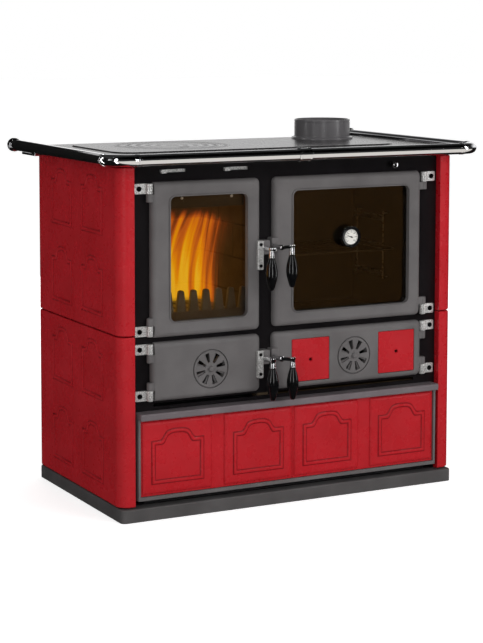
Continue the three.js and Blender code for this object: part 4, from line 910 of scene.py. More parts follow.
cap_profile = [(0, 0.0), (0.0120, 0.0), (0.0152, 0.0012), (cap_radius, 0.0036), (cap_radius, 0.0066),
               (0.0160, 0.0082), (0.0152, 0.0088), (0.0160, 0.0094), (cap_radius, 0.0106),
               (cap_radius, 0.0130), (0.0160, 0.0150), (0.0136, cap_length), (0, cap_length)]
for side, word in ((-1, "left"), (1, "right")):
    cap = bmesh.new()
    lathe(cap, cap_profile, lambda u, v, w: (side * rail_x + u, high.y - w, rail_level + v), 36)
    settle(shaded(bare(f"rail_cap_{word}", cap, chrome), smooth=35), "root", "chrome")
    # Sockets join the bent corner to the straight tubes.
    for name, centre, direction in (
            ("side", (side * rail_x, rail_front + rail_bend, rail_level), "y"),
            ("front", (side * (rail_x - rail_bend), rail_front, rail_level), "x")):
        socket = bmesh.new()
        profile = [(tube - 0.001, -0.006), (tube + 0.0004, -0.006), (tube + 0.0009, -0.005),
                   (tube + 0.0009, -0.001),
                   (tube + 0.0002, -0.0005), (tube + 0.0002, 0.0005), (tube + 0.0009, 0.001),
                   (tube + 0.0009, 0.005), (tube + 0.0004, 0.006), (tube - 0.001, 0.006)]
        if direction == "y":
            lathe(socket, profile, lambda u, v, w: (centre[0] + u, centre[1] + w, centre[2] + v), 36)
        else:
            lathe(socket, profile, lambda u, v, w: (centre[0] + w, centre[1] + u, centre[2] + v), 36)
        settle(shaded(bare(f"rail_socket_{word}_{name}", socket, chrome), smooth=35), "root", "chrome")
    dressed(f"rail_bracket_{word}", "root", "chrome", chrome, 0.0016, 3)

low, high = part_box("rail_clamp")
sleeve_radius = (high.z - low.z) / 2
sleeve_x = (low.x + high.x) / 2
half = (high.x - low.x) / 2
sleeve = bmesh.new()
sleeve_bore = tube + 0.0003
lathe(sleeve, [(sleeve_bore, -half), (sleeve_radius - 0.001, -half), (sleeve_radius, -half + 0.001),
               (sleeve_radius, -half + 0.005), (sleeve_radius - 0.0012, -half + 0.0065),
               (sleeve_radius - 0.0012, half - 0.0065), (sleeve_radius, half - 0.005),
               (sleeve_radius, half - 0.001), (sleeve_radius - 0.001, half), (sleeve_bore, half)],
      lambda u, v, w: (sleeve_x + w, rail_front + u, rail_level + v), 36)
settle(shaded(bare("rail_clamp_made", sleeve, chrome), smooth=35), "root", "chrome", "rail_clamp")

# ---------------------------------------------------------------- hinges
# Each door hangs on two plated steel brackets, screwed to the front plate, whose pins enter the
# lugs that are cast on the door. The knuckles are turned with ribs.

# Zinc plating under a pale chromate bloom: half metal, half chalk, with a soft shine.
zinc = toned("zinc_plated_steel", (0.012, 4.0), "#C4C3C1", "#D8D7D5", (0.003,), 0.22, 0.36, Metallic=0.5)
# Blackened steel with a film of oil: near black, with a dark metal shine.
screw_steel = toned("oiled_black_steel", (0.003,), "#1E1D1E", "#2C2B2C", (0.002,), 0.25, 0.4, Metallic=0.9)
bracket_height, knuckle, pin, bracket_wall = 0.025, 0.008, 0.004, 0.0045
for door, side in (("fire", -1), ("ash", -1), ("oven", 1), ("service", 1)):
    for end in ("top", "bottom"):
        node = f"hinge_bracket_{door}_{end}"
        low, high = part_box(node)
        foot = high.z - bracket_height if end == "top" else low.z
        top = foot + bracket_height
        pin_x = (low.x if side > 0 else high.x) + side * knuckle
        pin_y = low.y + knuckle
        outer_x = high.x if side > 0 else low.x
        bracket = bmesh.new()
        near, far = sorted((pin_x, outer_x))
        soft_plate(bracket, near, far, foot, top, 0.003, -high.y, -high.y + bracket_wall, 0.0012, 0.6)
        bracket = bare(f"{node}_made", bracket, zinc)
        settle(shaded(bracket), "root", "chrome", node)
        barrel = bmesh.new()
        profile = [(0, foot), (knuckle - 0.0012, foot), (knuckle, foot + 0.0012)]
        for rib in range(3):
            groove = foot + 0.0065 + rib * 0.006
            profile += [(knuckle, groove - 0.0009), (knuckle - 0.0011, groove - 0.0003),
                        (knuckle - 0.0011, groove + 0.0003), (knuckle, groove + 0.0009)]
        profile += [(knuckle, top - 0.0012), (knuckle - 0.0012, top), (0, top)]
        lathe(barrel, profile, upright_at(pin_x, pin_y), 28)
        shank_low, shank_high = (low.z, foot + 0.002) if end == "top" else (top - 0.002, high.z)
        lathe(barrel, [(0, shank_low), (pin - 0.0006, shank_low), (pin, shank_low + 0.0006),
                       (pin, shank_high - 0.0006), (pin - 0.0006, shank_high), (0, shank_high)],
              upright_at(pin_x, pin_y), 20)
        settle(shaded(bare(f"hinge_knuckle_{door}_{end}", barrel, zinc), smooth=45), "root", "chrome")
        screws(f"hinge_screw_{door}_{end}",
               [(outer_x - side * 0.0115, high.y - bracket_wall, (foot + top) / 2)],
               0.0062, 0.0028, screw_steel, "root", "chrome")

# ---------------------------------------------------------------- doors
# The doors are iron castings with broad rounded edges, sprayed with a grey heat-proof paint. Lugs
# for the hinge pins and the latch are cast on them, and the upper two have windows.

door_rear, door_face = -plate_face + 0.0003, -plate_face + 0.018
door_edge, door_depth, door_corner = 0.013, 0.0137, 0.012
window_corner, window_round, glass_wall, glass_lap = 0.014, 0.0035, 0.004, 0.010
lug_height, bore_clearance = 0.019, 0.00035
# Left and right edge of the latch lug on each door, and the x and z of the pin in it.
latch_lugs = {"fire": (-0.100, -0.067, -0.078, 0.636), "oven": (-0.063, -0.042, -0.055, 0.641),
              "ash": (-0.100, -0.067, -0.078, 0.366), "service": (-0.063, -0.042, -0.055, 0.368)}
latch_out, latch_pin, lug_half = 0.006, 0.004, 0.015


def carved(obj, operation, fill):
    """Adds or cuts away one closed shape, given as a bmesh."""
    tool = bare("tool", fill, obj.data.materials[0])
    work = obj.modifiers.new("carve", "BOOLEAN")
    work.operation = operation
    work.solver = "EXACT"
    work.object = tool
    flattened(obj)
    bpy.data.objects.remove(tool)
    return obj


def brick(x0, x1, y0, y1, z0, z1):
    """A plain block, for cutting."""
    made = bmesh.new()
    return loft(made, [([(x0, y0), (x1, y0), (x1, y1), (x0, y1)], z0),
                       ([(x0, y0), (x1, y0), (x1, y1), (x0, y1)], z1)],
                on_plan)


def casting(name, left, right, foot, top, window=None):
    """A door slab whose front edges are rounded, with or without a window."""
    def outline(inset):
        return rounded(left + inset, right - inset, foot + inset, top - inset, door_corner + inset * 0.4, 8)

    levels = [(outline(0.0008), door_rear), (outline(0.0), door_rear + 0.0008)]
    levels += [(outline(inset), door_face - door_depth + rise)
               for inset, rise in eased(door_edge, 8, door_depth)]
    made = bmesh.new()
    if window is None:
        return bare(name, loft(made, levels, on_front), cast_iron)

    def opening(grow, radius=window_corner):
        return rounded(window[0] - grow, window[1] + grow, window[2] - grow, window[3] + grow, radius, 8)

    levels += [(opening(window_round - inset, window_corner + window_round - inset),
                door_face - window_round + rise)
               for inset, rise in reversed([(window_round - r, window_round - i)
                                            for i, r in eased(window_round, 5)])]
    glass_face = door_rear + glass_wall + 0.0003
    levels += [(opening(0), glass_face), (opening(glass_lap), glass_face), (opening(glass_lap), door_rear)]
    return bare(name, loft(made, levels, on_front, closed=True), cast_iron)


def hang(obj, door, side):
    """Clears the brackets' room in a door and adds its hinge lugs and its latch lug."""
    box_low, box_high = door_boxes[door]
    top_low, top_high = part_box(f"hinge_bracket_{door}_top")
    foot_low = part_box(f"hinge_bracket_{door}_bottom")[0]
    top_bracket = top_high.z - bracket_height
    foot_bracket = foot_low.z + bracket_height
    pin_x = (top_low.x if side > 0 else top_high.x) + side * knuckle
    pin_y = top_low.y + knuckle
    reach, outside = sorted((pin_x - side * (knuckle + 0.0018), pin_x + side * 0.03))
    for z0, z1 in ((top_bracket - 0.0005, box_high.z + 0.01), (box_low.z - 0.01, foot_bracket + 0.0005)):
        carved(obj, "DIFFERENCE", brick(reach, outside, -door_face - 0.005, -door_rear + 0.005, z0, z1))
    inward = (box_low.x if side < 0 else box_high.x) - side * 0.010
    for z0, z1 in ((top_bracket - 0.0005 - lug_height, top_bracket - 0.0005),
                   (foot_bracket + 0.0005, foot_bracket + 0.0005 + lug_height)):
        near, far = sorted((pin_x, inward))
        arm = bmesh.new()
        arm_out = -pin_y + knuckle - 0.002
        arm_outline = [(near, z0), (far, z0), (far, z1), (near, z1)]
        loft(arm, [(arm_outline, door_rear), (arm_outline, arm_out)], on_front)
        carved(obj, "UNION", arm)
        barrel = bmesh.new()
        lathe(barrel, [(0, z0), (knuckle - 0.0008, z0), (knuckle, z0 + 0.0008), (knuckle, z1 - 0.0008),
                       (knuckle - 0.0008, z1), (0, z1)], upright_at(pin_x, pin_y), 28)
        carved(obj, "UNION", barrel)
        hole = bmesh.new()
        bore_radius = pin + bore_clearance
        lathe(hole, [(0, z0 - 0.001), (bore_radius, z0 - 0.001), (bore_radius, z1 + 0.001),
                     (0, z1 + 0.001)],
              upright_at(pin_x, pin_y), 20)
        carved(obj, "DIFFERENCE", hole)
    near, far, latch_x, latch_z = latch_lugs[door]
    lug = bmesh.new()
    lug_face = door_face + latch_out
    soft_plate(lug, near, far, latch_z - lug_half, latch_z + lug_half + 0.005, 0.004, door_rear, lug_face,
               0.0025, 0.6)
    carved(obj, "UNION", lug)
    eye = bmesh.new()
    eye_radius = latch_pin + bore_clearance
    lathe(eye, [(0, door_face - 0.010), (eye_radius, door_face - 0.010), (eye_radius, lug_face + 0.001),
                (0, lug_face + 0.001)], forward_at(latch_x, latch_z), 20)
    return carved(obj, "DIFFERENCE", eye)


# Each door's slab without its lugs, from lower left to upper right, and its window's four edges.
door_boxes = {
    "fire": (Vector((-0.381, 0, 0.436)), Vector((-0.090, 0, 0.808))),
    "oven": (Vector((-0.053, 0, 0.439)), Vector((0.372, 0, 0.8085))),
    "ash": (Vector((-0.381, 0, 0.283)), Vector((-0.089, 0, 0.4255))),
    "service": (Vector((-0.055, 0, 0.283)), Vector((0.376, 0, 0.4255)))}
windows = {"fire": (-0.332, -0.126, 0.4725, 0.772), "oven": (0.0005, 0.3355, 0.474, 0.773)}
for door, side in (("fire", -1), ("oven", 1)):
    low, high = door_boxes[door]
    slab = casting(f"{door}_door_made", low.x, high.x, low.z, high.z, windows[door])
    hang(slab, door, side)
    settle(shaded(slab, smooth=35), f"{door}_door", "cast_grey", f"{door}_door")

# Ceramic glass: clear, faintly brown, 4 mm thick, in a rebate behind each window.
glass, tree, shader = finish("ceramic_glass", Roughness=0.02, IOR=1.5, Transmission_weight=1.0,
                             Base_color=linear("#E2D8C4"))
for door in ("fire", "oven"):
    dressed(f"{door}_glass", f"{door}_door", "door_glass", glass, 0.0004)

# A black steel strip with two screws holds the top of the fire door's pane.
left, right, foot, top = windows["fire"]
strip = bmesh.new()
strip_rear, strip_face = door_rear - 0.0036, door_rear - 0.0008
strip_outline = rounded(left + 0.003, right - 0.003, top - 0.030, top + 0.004, 0.002, 2)
loft(strip, [(strip_outline, strip_rear), (strip_outline, strip_face)], on_front)
settle(shaded(bare("fire_glass_strip", strip, body_paint), 0.0004), "fire_door", "black_steel")
screws("fire_glass_screws", [(x, -strip_face - 0.0002, top - 0.006) for x in (left + 0.037, right - 0.036)],
       0.0034, 0.0016, zinc, "fire_door", "black_steel")

# The lower doors have no window. Each has a round recess for an air disc, with eight holes through
# the casting, and the service door has two square seats for tiles.
disc_z, disc_radius, disc_recess, disc_gap, disc_holes = 0.3515, 0.046, 0.004, 0.0012, 8
hole_inner, hole_outer, hole_share, disc_turn = 0.016, 0.039, 0.46, 0.12
disc_centres = {"ash": -0.2263, "service": 0.1749}
tile_half, tile_foot, tile_wall, tile_proud, tile_joint = 0.053, 0.2985, 0.006, 0.0006, 0.001
tile_centres = {"left": 0.050, "right": 0.2996}


def air_hole(centre, index, turned, w0, w1, steps=6):
    """One hole of the air slide: a slice of a ring."""
    start = 2 * math.pi * index / disc_holes + turned
    sweep = 2 * math.pi * hole_share / disc_holes
    outline = [(centre + radius * math.cos(start + sweep * i / steps),
                disc_z + radius * math.sin(start + sweep * i / steps))
               for radius, order in ((hole_outer, range(steps + 1)), (hole_inner, range(steps, -1, -1)))
               for i in order]
    return loft(bmesh.new(), [(outline, w0), (outline, w1)], on_front)


for door, side in (("ash", -1), ("service", 1)):
    low, high = door_boxes[door]
    slab = casting(f"{door}_door_made", low.x, high.x, low.z, high.z)
    hang(slab, door, side)
    centre = disc_centres[door]
    floor_w = door_face - disc_recess
    seat = bmesh.new()
    lathe(seat, [(0, floor_w), (disc_radius + disc_gap, floor_w),
                 (disc_radius + disc_gap, door_face - 0.0014),
                 (disc_radius + disc_gap + 0.0014, door_face + 0.001), (0, door_face + 0.001)],
          forward_at(centre, disc_z), 64)
    carved(slab, "DIFFERENCE", seat)
    bore = bmesh.new()
    lathe(bore, [(0, floor_w - 0.009), (0.00335, floor_w - 0.009), (0.00335, floor_w + 0.001),
                 (0, floor_w + 0.001)],
          forward_at(centre, disc_z), 20)
    carved(slab, "DIFFERENCE", bore)
    for index in range(disc_holes):
        carved(slab, "DIFFERENCE", air_hole(centre, index, 0, door_rear - 0.001, door_face))
    if door == "service":
        seat_half = tile_half + tile_joint
        for tile_x in tile_centres.values():
            outline = rounded(tile_x - seat_half, tile_x + seat_half, tile_foot - tile_joint,
                              tile_foot + 2 * tile_half + tile_joint, 0.003, 4)
            seat = loft(bmesh.new(), [(outline, door_face + tile_proud - tile_wall - 0.0003),
                                      (outline, door_face + 0.001)], on_front)
            carved(slab, "DIFFERENCE", seat)
    settle(shaded(slab, smooth=35), f"{door}_door", "cast_grey", f"{door}_door")

    # The disc turns on its stud over the holes: a flat casting with a soft rim and a round knob.
    foot = floor_w + 0.0003
    face = foot + 0.0045
    disc = bmesh.new()
    rim = 0.0014
    edge = disc_radius - 0.0010
    profile = [(0, foot), (disc_radius - 0.0004, foot), (disc_radius, foot + 0.0004),
               (disc_radius, foot + 0.0008), (edge, foot + 0.0012)]
    profile += [(edge - inset, face - rim + rise) for inset, rise in eased(rim, 4)]
    profile += [(0, face)]
    lathe(disc, profile, forward_at(centre, disc_z), 64)
    disc = bare(f"{door}_air_disc_made", disc, cast_iron)
    for index in range(disc_holes):
        carved(disc, "DIFFERENCE", air_hole(centre, index, disc_turn, foot - 0.001, face + 0.001))
    knob = bmesh.new()
    lathe(knob, [(0, foot - 0.008), (0.0026, foot - 0.008), (0.003, foot - 0.0076), (0.003, foot + 0.001),
                 (0.0092, face - 0.0010), (0.0092, face + 0.0002), (0.0078, face + 0.0008),
                 (0.0070, face + 0.0018),
                 (0.0068, face + 0.0046), (0.0060, face + 0.0060), (0.0040, face + 0.0068),
                 (0, face + 0.0070)],
          forward_at(centre, disc_z), 32)
    settle(shaded(disc, 0.0006, 2, 35), f"{door}_air", "cast_grey", f"{door}_air_disc")
    settle(shaded(bare(f"{door}_air_knob", knob, cast_iron), smooth=50), f"{door}_air", "cast_grey")

# Two glazed tiles, each held by a screw in its middle.
for word, tile_x in tile_centres.items():
    face = door_face + tile_proud
    tile = bmesh.new()
    soft_plate(tile, tile_x - tile_half, tile_x + tile_half, tile_foot, tile_foot + 2 * tile_half, 0.0025,
               face - tile_wall, face, 0.0018, 0.5, 4)
    tile = bare(f"service_tile_{word}_made", tile, red_glaze)
    dimple = bmesh.new()
    lathe(dimple, [(0, face - 0.0030), (0.0042, face - 0.0030), (0.0048, face - 0.0008),
                   (0.0056, face + 0.0003), (0.0056, face + 0.001), (0, face + 0.001)],
          forward_at(tile_x, tile_foot + tile_half), 24)
    carved(tile, "DIFFERENCE", dimple)
    settle(shaded(tile, smooth=35), "service_door", "glazed_red", f"service_tile_{word}")
    screws(f"service_tile_screw_{word}", [(tile_x, -face + 0.0026, tile_foot + tile_half)], 0.0032, 0.0014,
           screw_steel, "service_door", "black_steel")

# ---------------------------------------------------------------- oven thermometer
# A turned case with a black face ring holds a white enamelled dial, and a needle of blued steel
# stands on it.

low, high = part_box("oven_thermometer")
dial_x, dial_z = (low.x + high.x) / 2, (low.z + high.z) / 2
dial_radius = (high.x - low.x) / 2
dial_foot, dial_face = -high.y, -low.y
on_dial = forward_at(dial_x, dial_z)
bezel_paint = stove_paint("gloss_black_enamel", "#0B0B0C", "#131314", 0.25, 0.002, 0.00001)
dial_floor = dial_face - 0.003
case = bmesh.new()
lathe(case, [(0, dial_foot), (dial_radius - 0.006, dial_foot), (dial_radius - 0.004, dial_foot + 0.002),
             (dial_radius - 0.001, dial_foot + 0.009), (dial_radius - 0.0015, dial_face - 0.0062),
             (dial_radius, dial_face - 0.0055), (dial_radius, dial_face - 0.0025),
             (dial_radius - 0.0008, dial_face - 0.0008),
             (dial_radius - 0.002, dial_face), (dial_radius - 0.0035, dial_face - 0.0002),
             (dial_radius - 0.0080, dial_face - 0.0020), (dial_radius - 0.0082, dial_floor),
             (0, dial_floor)],
      on_dial, 64)
settle(shaded(bare("oven_thermometer_made", case, bezel_paint), smooth=30), "oven_door", "dial",
       "oven_thermometer")

dial_white = stove_paint("dial_white_enamel", "#D8D6CF", "#E2E0DA", 0.4, 0.002, 0.00001)
dial_ink = stove_paint("dial_black_ink", "#151515", "#1E1E1E", 0.5, 0.002, 0.00001)
plate = bmesh.new()
dial_plate_radius = dial_radius - 0.0084
lathe(plate, [(0, dial_floor - 0.0005), (dial_plate_radius, dial_floor - 0.0005),
              (dial_plate_radius, dial_floor + 0.0004), (0, dial_floor + 0.0004)], on_dial, 64)
settle(shaded(bare("dial_plate", plate, dial_white), smooth=30), "oven_door", "dial")
dial_top = dial_floor + 0.0004
scale_start, scale_sweep = math.radians(-135), math.radians(270)
marks = 13
for name, count, length, width in (("dial_marks", marks, 0.0028, 0.0010),
                                   ("dial_fine_marks", 5 * (marks - 1) + 1, 0.0016, 0.0004)):
    mark = bmesh.new()
    outer = dial_plate_radius - 0.0012
    outline = [(-width / 2, outer - length), (width / 2, outer - length), (width / 2, outer),
               (-width / 2, outer)]
    loft(mark, [(outline, -0.0001), (outline, 0.00012)], on_front)
    bmesh.ops.rotate(mark, verts=mark.verts, matrix=Matrix.Rotation(scale_start, 3, "Y"))
    marked = row(bare(name, mark, dial_ink), count, (dial_x, -dial_top, dial_z),
                 turn=(0, scale_sweep / (count - 1), 0))
    settle(marked, "oven_door", "dial")
for index in range(0, marks, 2):
    angle = scale_start + scale_sweep * index / (marks - 1)
    text = bpy.data.curves.new("numeral", "FONT")
    text.body = str(index * 25)
    text.size = 0.0042
    text.align_x, text.align_y = "CENTER", "CENTER"
    text.extrude = 0.0001
    text.materials.append(dial_ink)
    written = linked("numeral", text)
    depsgraph = bpy.context.evaluated_depsgraph_get()
    mesh = bpy.data.meshes.new_from_object(written.evaluated_get(depsgraph), depsgraph=depsgraph)
    bpy.data.objects.remove(written)
    reach = dial_plate_radius - 0.0062
    mesh.transform(Matrix.Translation((dial_x + reach * math.sin(angle), -dial_top,
                                       dial_z + reach * math.cos(angle)))
                   @ Matrix.Rotation(math.pi / 2, 4, "X"))
    settle(linked(f"dial_numeral_{index}", mesh), "oven_door", "dial")
needle = bmesh.new()
needle_outline = [(-0.0013, -0.005), (0.0013, -0.005), (0.0007, 0.011), (0, 0.0130), (-0.0007, 0.011)]
loft(needle, [(needle_outline, 0.0004), (needle_outline, 0.0009)], on_front)
bmesh.ops.rotate(needle, verts=needle.verts, matrix=Matrix.Rotation(math.radians(-70), 3, "Y"))
bmesh.ops.translate(needle, verts=needle.verts, vec=(dial_x, -dial_top, dial_z))
lathe(needle, [(0, dial_top), (0.0022, dial_top), (0.0022, dial_top + 0.0010), (0.0014, dial_top + 0.0015),
               (0, dial_top + 0.0015)], on_dial, 20)
settle(shaded(bare("dial_needle", needle, dial_ink), smooth=40), "oven_door", "dial")

# ---------------------------------------------------------------- latch handles
# Each latch has a chrome lever on a pin in its door's lug. The lever's arm carries a turned neck,
# and a spindle grip of black bakelite hangs from the neck on the lever's tang.

# Bakelite, moulded and buffed: a deep black with a clear, hard shine.
bakelite = toned("black_bakelite", (0.02,), "#09090A", "#101011", (0.015,), 0.08, 0.16)
grip_out, boss_radius, neck_length, neck_radius, grip_length = 0.300, 0.007, 0.027, 0.0075, 0.079
# Radius and height of the grip, from its foot to its top.
grip_profile = ((0.0, 0.0), (0.0048, 0.0012), (0.0078, 0.0080), (0.0095, 0.0145), (0.0116, 0.022),
                (0.0135, 0.030),
                (0.0145, 0.038), (0.0144, 0.046), (0.0136, 0.054), (0.0122, 0.061), (0.0104, 0.068),
                (0.0084, 0.074), (0.0075, 0.077), (0.0066, 0.079), (0.0, 0.079))


def smoothed(points, steps=4):
    """More points on a smooth curve through these ones."""
    made = [points[0]]
    for i in range(len(points) - 1):
        p0, p1, p2, p3 = (points[max(i - 1, 0)], points[i], points[i + 1],
                          points[min(i + 2, len(points) - 1)])
        for s in range(1, steps + 1):
            t = s / steps
            made.append(tuple(0.5 * (2 * b + (c - a) * t + (2 * a - 5 * b + 4 * c - d) * t * t
                                     + (3 * b - a - 3 * c + d) * t ** 3)
                              for a, b, c, d in zip(p0, p1, p2, p3)))
    return made


for door, grip_x, neck_top in (("fire", -0.084, 0.643), ("oven", -0.028, 0.648), ("ash", -0.080, 0.373),
                               ("service", -0.025, 0.371)):
    pin_x, pin_z = latch_lugs[door][2:]
    lug_face = door_face + latch_out + 0.0003
    lever = bmesh.new()
    lathe(lever, [(0, lug_face - 0.012), (latch_pin - 0.0006, lug_face - 0.012),
                  (latch_pin, lug_face - 0.0114), (latch_pin, lug_face), (boss_radius + 0.0008, lug_face),
                  (boss_radius + 0.0008, lug_face + 0.0035),
                  (boss_radius - 0.0008, lug_face + 0.006), (boss_radius - 0.0012, lug_face + 0.020),
                  (boss_radius - 0.0002, grip_out - 0.008), (boss_radius, grip_out - 0.006),
                  (boss_radius, grip_out + 0.0002), (boss_radius - 0.0008, grip_out + 0.0016),
                  (boss_radius - 0.0030, grip_out + 0.0022), (0, grip_out + 0.0024)],
          forward_at(pin_x, pin_z), 32)
    neck_foot = neck_top - neck_length
    lathe(lever, [(0, neck_foot), (neck_radius - 0.0010, neck_foot), (neck_radius, neck_foot + 0.0012),
                  (neck_radius, neck_foot + 0.0030), (neck_radius - 0.0008, neck_foot + 0.0040),
                  (neck_radius - 0.0008, neck_foot + 0.0055), (neck_radius - 0.0002, neck_foot + 0.0065),
                  (neck_radius - 0.0012, neck_foot + 0.012), (neck_radius - 0.0015, neck_top - 0.009),
                  (neck_radius - 0.0004, neck_top - 0.006), (neck_radius + 0.0005, neck_top - 0.0035),
                  (neck_radius, neck_top - 0.0015), (neck_radius - 0.0030, neck_top - 0.0003),
                  (0, neck_top)],
          upright_at(grip_x, -grip_out), 32)
    lever = bare(f"latch_lever_{door}_made", lever, chrome)
    settle(shaded(lever, smooth=50), f"{door}_latch", "chrome", f"latch_lever_{door}")
    reach = grip_x - pin_x
    arm = bmesh.new()
    if reach > 0.01:
        rise = neck_top - 0.006 - pin_z
        steps = [Vector((pin_x + reach * t, -grip_out + 0.001, pin_z + rise * (t * t * (3 - 2 * t))))
                 for t in [i / 8 for i in range(9)]]
        rings = []
        for i, point in enumerate(steps):
            along = (steps[min(i + 1, 8)] - steps[max(i - 1, 0)]).normalized()
            over = Vector((0, -1, 0)).cross(along).normalized()
            rings.append([arm.verts.new(point + over * v + Vector((0, -1, 0)) * u)
                          for u, v in rounded(-0.0032, 0.0036, -0.0045, 0.0045, 0.0024, 4)])
        for one, other in zip(rings, rings[1:]):
            for s in range(len(one)):
                arm.faces.new((one[s], one[(s + 1) % len(one)], other[(s + 1) % len(one)], other[s]))
        arm.faces.new(list(reversed(rings[0])))
        arm.faces.new(rings[-1])
    else:
        near, far = sorted((pin_x, grip_x))
        outline = rounded(near - 0.0005, far + 0.0005, pin_z - 0.0045, pin_z + 0.0045, 0.001, 2)
        loft(arm, [(outline, grip_out - 0.004), (outline, grip_out + 0.0024)], on_front)
    settle(shaded(bare(f"latch_arm_{door}", arm, chrome), smooth=45), f"{door}_latch", "chrome")
    grip_foot = neck_foot - 0.0003 - grip_length
    profile = [grip_profile[0]] + smoothed(grip_profile[1:-1]) + [grip_profile[-1]]
    spindle = bmesh.new()
    lathe(spindle, [(r, grip_foot + z) for r, z in profile], upright_at(grip_x, -grip_out), 40)
    settle(shaded(bare(f"grip_{door}_made", spindle, bakelite), smooth=60), f"{door}_latch", "black_grip",
           f"grip_{door}")

# A plated strap under each latch is screwed on the free edge of the fire door and of the ash door.
for door, foot, top in (("fire", 0.584, 0.656), ("ash", 0.318, 0.386)):
    strap = bmesh.new()
    left, right = latch_lugs[door][0] - 0.002, latch_lugs[door][2] - boss_radius - 0.0016
    soft_plate(strap, left, right, foot, top, 0.003, door_face - 0.008, door_face + latch_out + 0.0024,
               0.0012, 0.5)
    settle(shaded(bare(f"latch_strap_{door}", strap, zinc)), f"{door}_door", "chrome")
    screws(f"latch_strap_screws_{door}", [((left + right) / 2, -door_face - latch_out - 0.0024, z)
                                          for z in (foot + 0.010, top - 0.010)],
           0.0042, 0.0026, screw_steel, f"{door}_door", "chrome")

# ---------------------------------------------------------------- fascia controls
# A steel slide behind each air slot has a chrome-tipped stem that stands out in front. A turned
# chrome knob pulls the rod of the flue damper.

for word in ("left", "right"):
    dressed(f"air_lever_{word}", f"{word}_air_lever", "bare_steel", zinc, 0.0008, 3)
low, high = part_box("damper_knob")
knob_x, knob_z = (low.x + high.x) / 2, (low.z + high.z) / 2
knob_radius = (high.x - low.x) / 2
knob = bmesh.new()
lathe(knob, [(0, -high.y), (knob_radius * 0.6, -high.y), (knob_radius * 0.6, -high.y + 0.001),
             (knob_radius * 0.5, -high.y + 0.003), (knob_radius * 0.55, -high.y + 0.006),
             (knob_radius * 0.9, -high.y + 0.008), (knob_radius, -high.y + 0.0105),
             (knob_radius, -high.y + 0.0125),
             (knob_radius * 0.94, -high.y + 0.0150), (knob_radius * 0.75, -high.y + 0.0168),
             (knob_radius * 0.4, -low.y - 0.0002), (0, -low.y)],
      forward_at(knob_x, knob_z), 36)
settle(shaded(bare("damper_knob_made", knob, chrome), smooth=50), "damper", "chrome", "damper_knob")
dressed("flue_damper", "damper", "bare_steel", sheet_steel, 0.0006)

# ---------------------------------------------------------------- log drawer
# A painted steel tray front frames two ceramic blocks, glazed like the side panels, and a rounded
# strip along its top is the handle. The box behind it is folded sheet.

low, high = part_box("drawer_front")
strip_foot, strip_radius = 0.2433, 0.003
drawer_rear, tray_face, drawer_face, drawer_rim = -high.y, -high.y + 0.008, -high.y + 0.020, 0.006
tray = bmesh.new()
tray_outline = [(low.x, low.z), (high.x, low.z), (high.x, strip_foot + 0.001), (low.x, strip_foot + 0.001)]
loft(tray, [(tray_outline, drawer_rear), (tray_outline, drawer_face)], on_front)
tray = bare("drawer_front_made", tray, cast_iron)
room = [(low.x + drawer_rim, low.z + drawer_rim + 0.003), (high.x - drawer_rim, low.z + drawer_rim + 0.003),
        (high.x - drawer_rim, strip_foot + 0.01), (low.x + drawer_rim, strip_foot + 0.01)]
carved(tray, "DIFFERENCE", loft(bmesh.new(), [(room, tray_face), (room, drawer_face + 0.01)], on_front))
settle(shaded(tray, 0.0008, 3), "wood_drawer", "cast_grey", "drawer_front")
strip_paint = stove_paint("strip_satin_paint", "#655E61", "#716A6D", 0.38, 0.002, 0.00004)
strip = bmesh.new()
strip_face = -low.y
levels = [(rounded(low.x, high.x, strip_foot, high.z, strip_radius, 4), drawer_rear)]
levels += [(rounded(low.x + inset * 2, high.x - inset * 2, strip_foot + inset, high.z - inset,
                    strip_radius + inset * 0.3, 4), strip_face - 0.004 + rise)
           for inset, rise in eased(0.004, 6)]
loft(strip, levels, on_front)
settle(shaded(bare("drawer_strip", strip, strip_paint), smooth=40), "wood_drawer", "cast_grey")

field_proud, field_edge, field_margin, field_side, field_band = 0.005, 0.011, 0.005, 0.004, 0.033
tile_ground = drawer_face - field_proud
arch_width, arch_foot, arch_shoulder, arch_rise = 0.138, 0.086, 0.190, 0.026
for side, word in ((-1, "left"), (1, "right")):
    node = f"drawer_tile_{word}"
    low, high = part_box(node)
    block = bmesh.new()
    outline_low = rounded(low.x, high.x, low.z, high.z, 0.002, 3)
    loft(block, [(outline_low, -high.y), (outline_low, tile_ground - 0.001),
                 (rounded(low.x + 0.001, high.x - 0.001, low.z + 0.001, high.z - 0.001, 0.0015, 3),
                  tile_ground)],
         on_front)
    middle = (low.x + high.x) / 2
    for left, right in ((low.x + field_side, middle - field_band / 2),
                        (middle + field_band / 2, high.x - field_side)):
        levels = [(rounded(left, right, low.z + field_margin, high.z - field_margin, 0.003, 4),
                   tile_ground - 0.001)]
        levels += [(rounded(left + inset, right - inset, low.z + field_margin + inset,
                            high.z - field_margin - inset, 0.003 + inset * 0.5, 4), tile_ground + rise)
                   for inset, rise in eased(field_edge, 8, field_proud)]
        loft(block, levels, on_front)
        centre = (left + right) / 2
        arch_bead(block, (centre - arch_width / 2, centre + arch_width / 2, arch_foot, arch_shoulder,
                          arch_shoulder + arch_rise), drawer_face, on_front, 0.7)
    settle(shaded(bare(node + "_made", block, red_glaze), smooth=50), "wood_drawer", "glazed_red", node)
dressed("drawer_box", "wood_drawer", "bare_steel", sheet_steel, 0.0006)
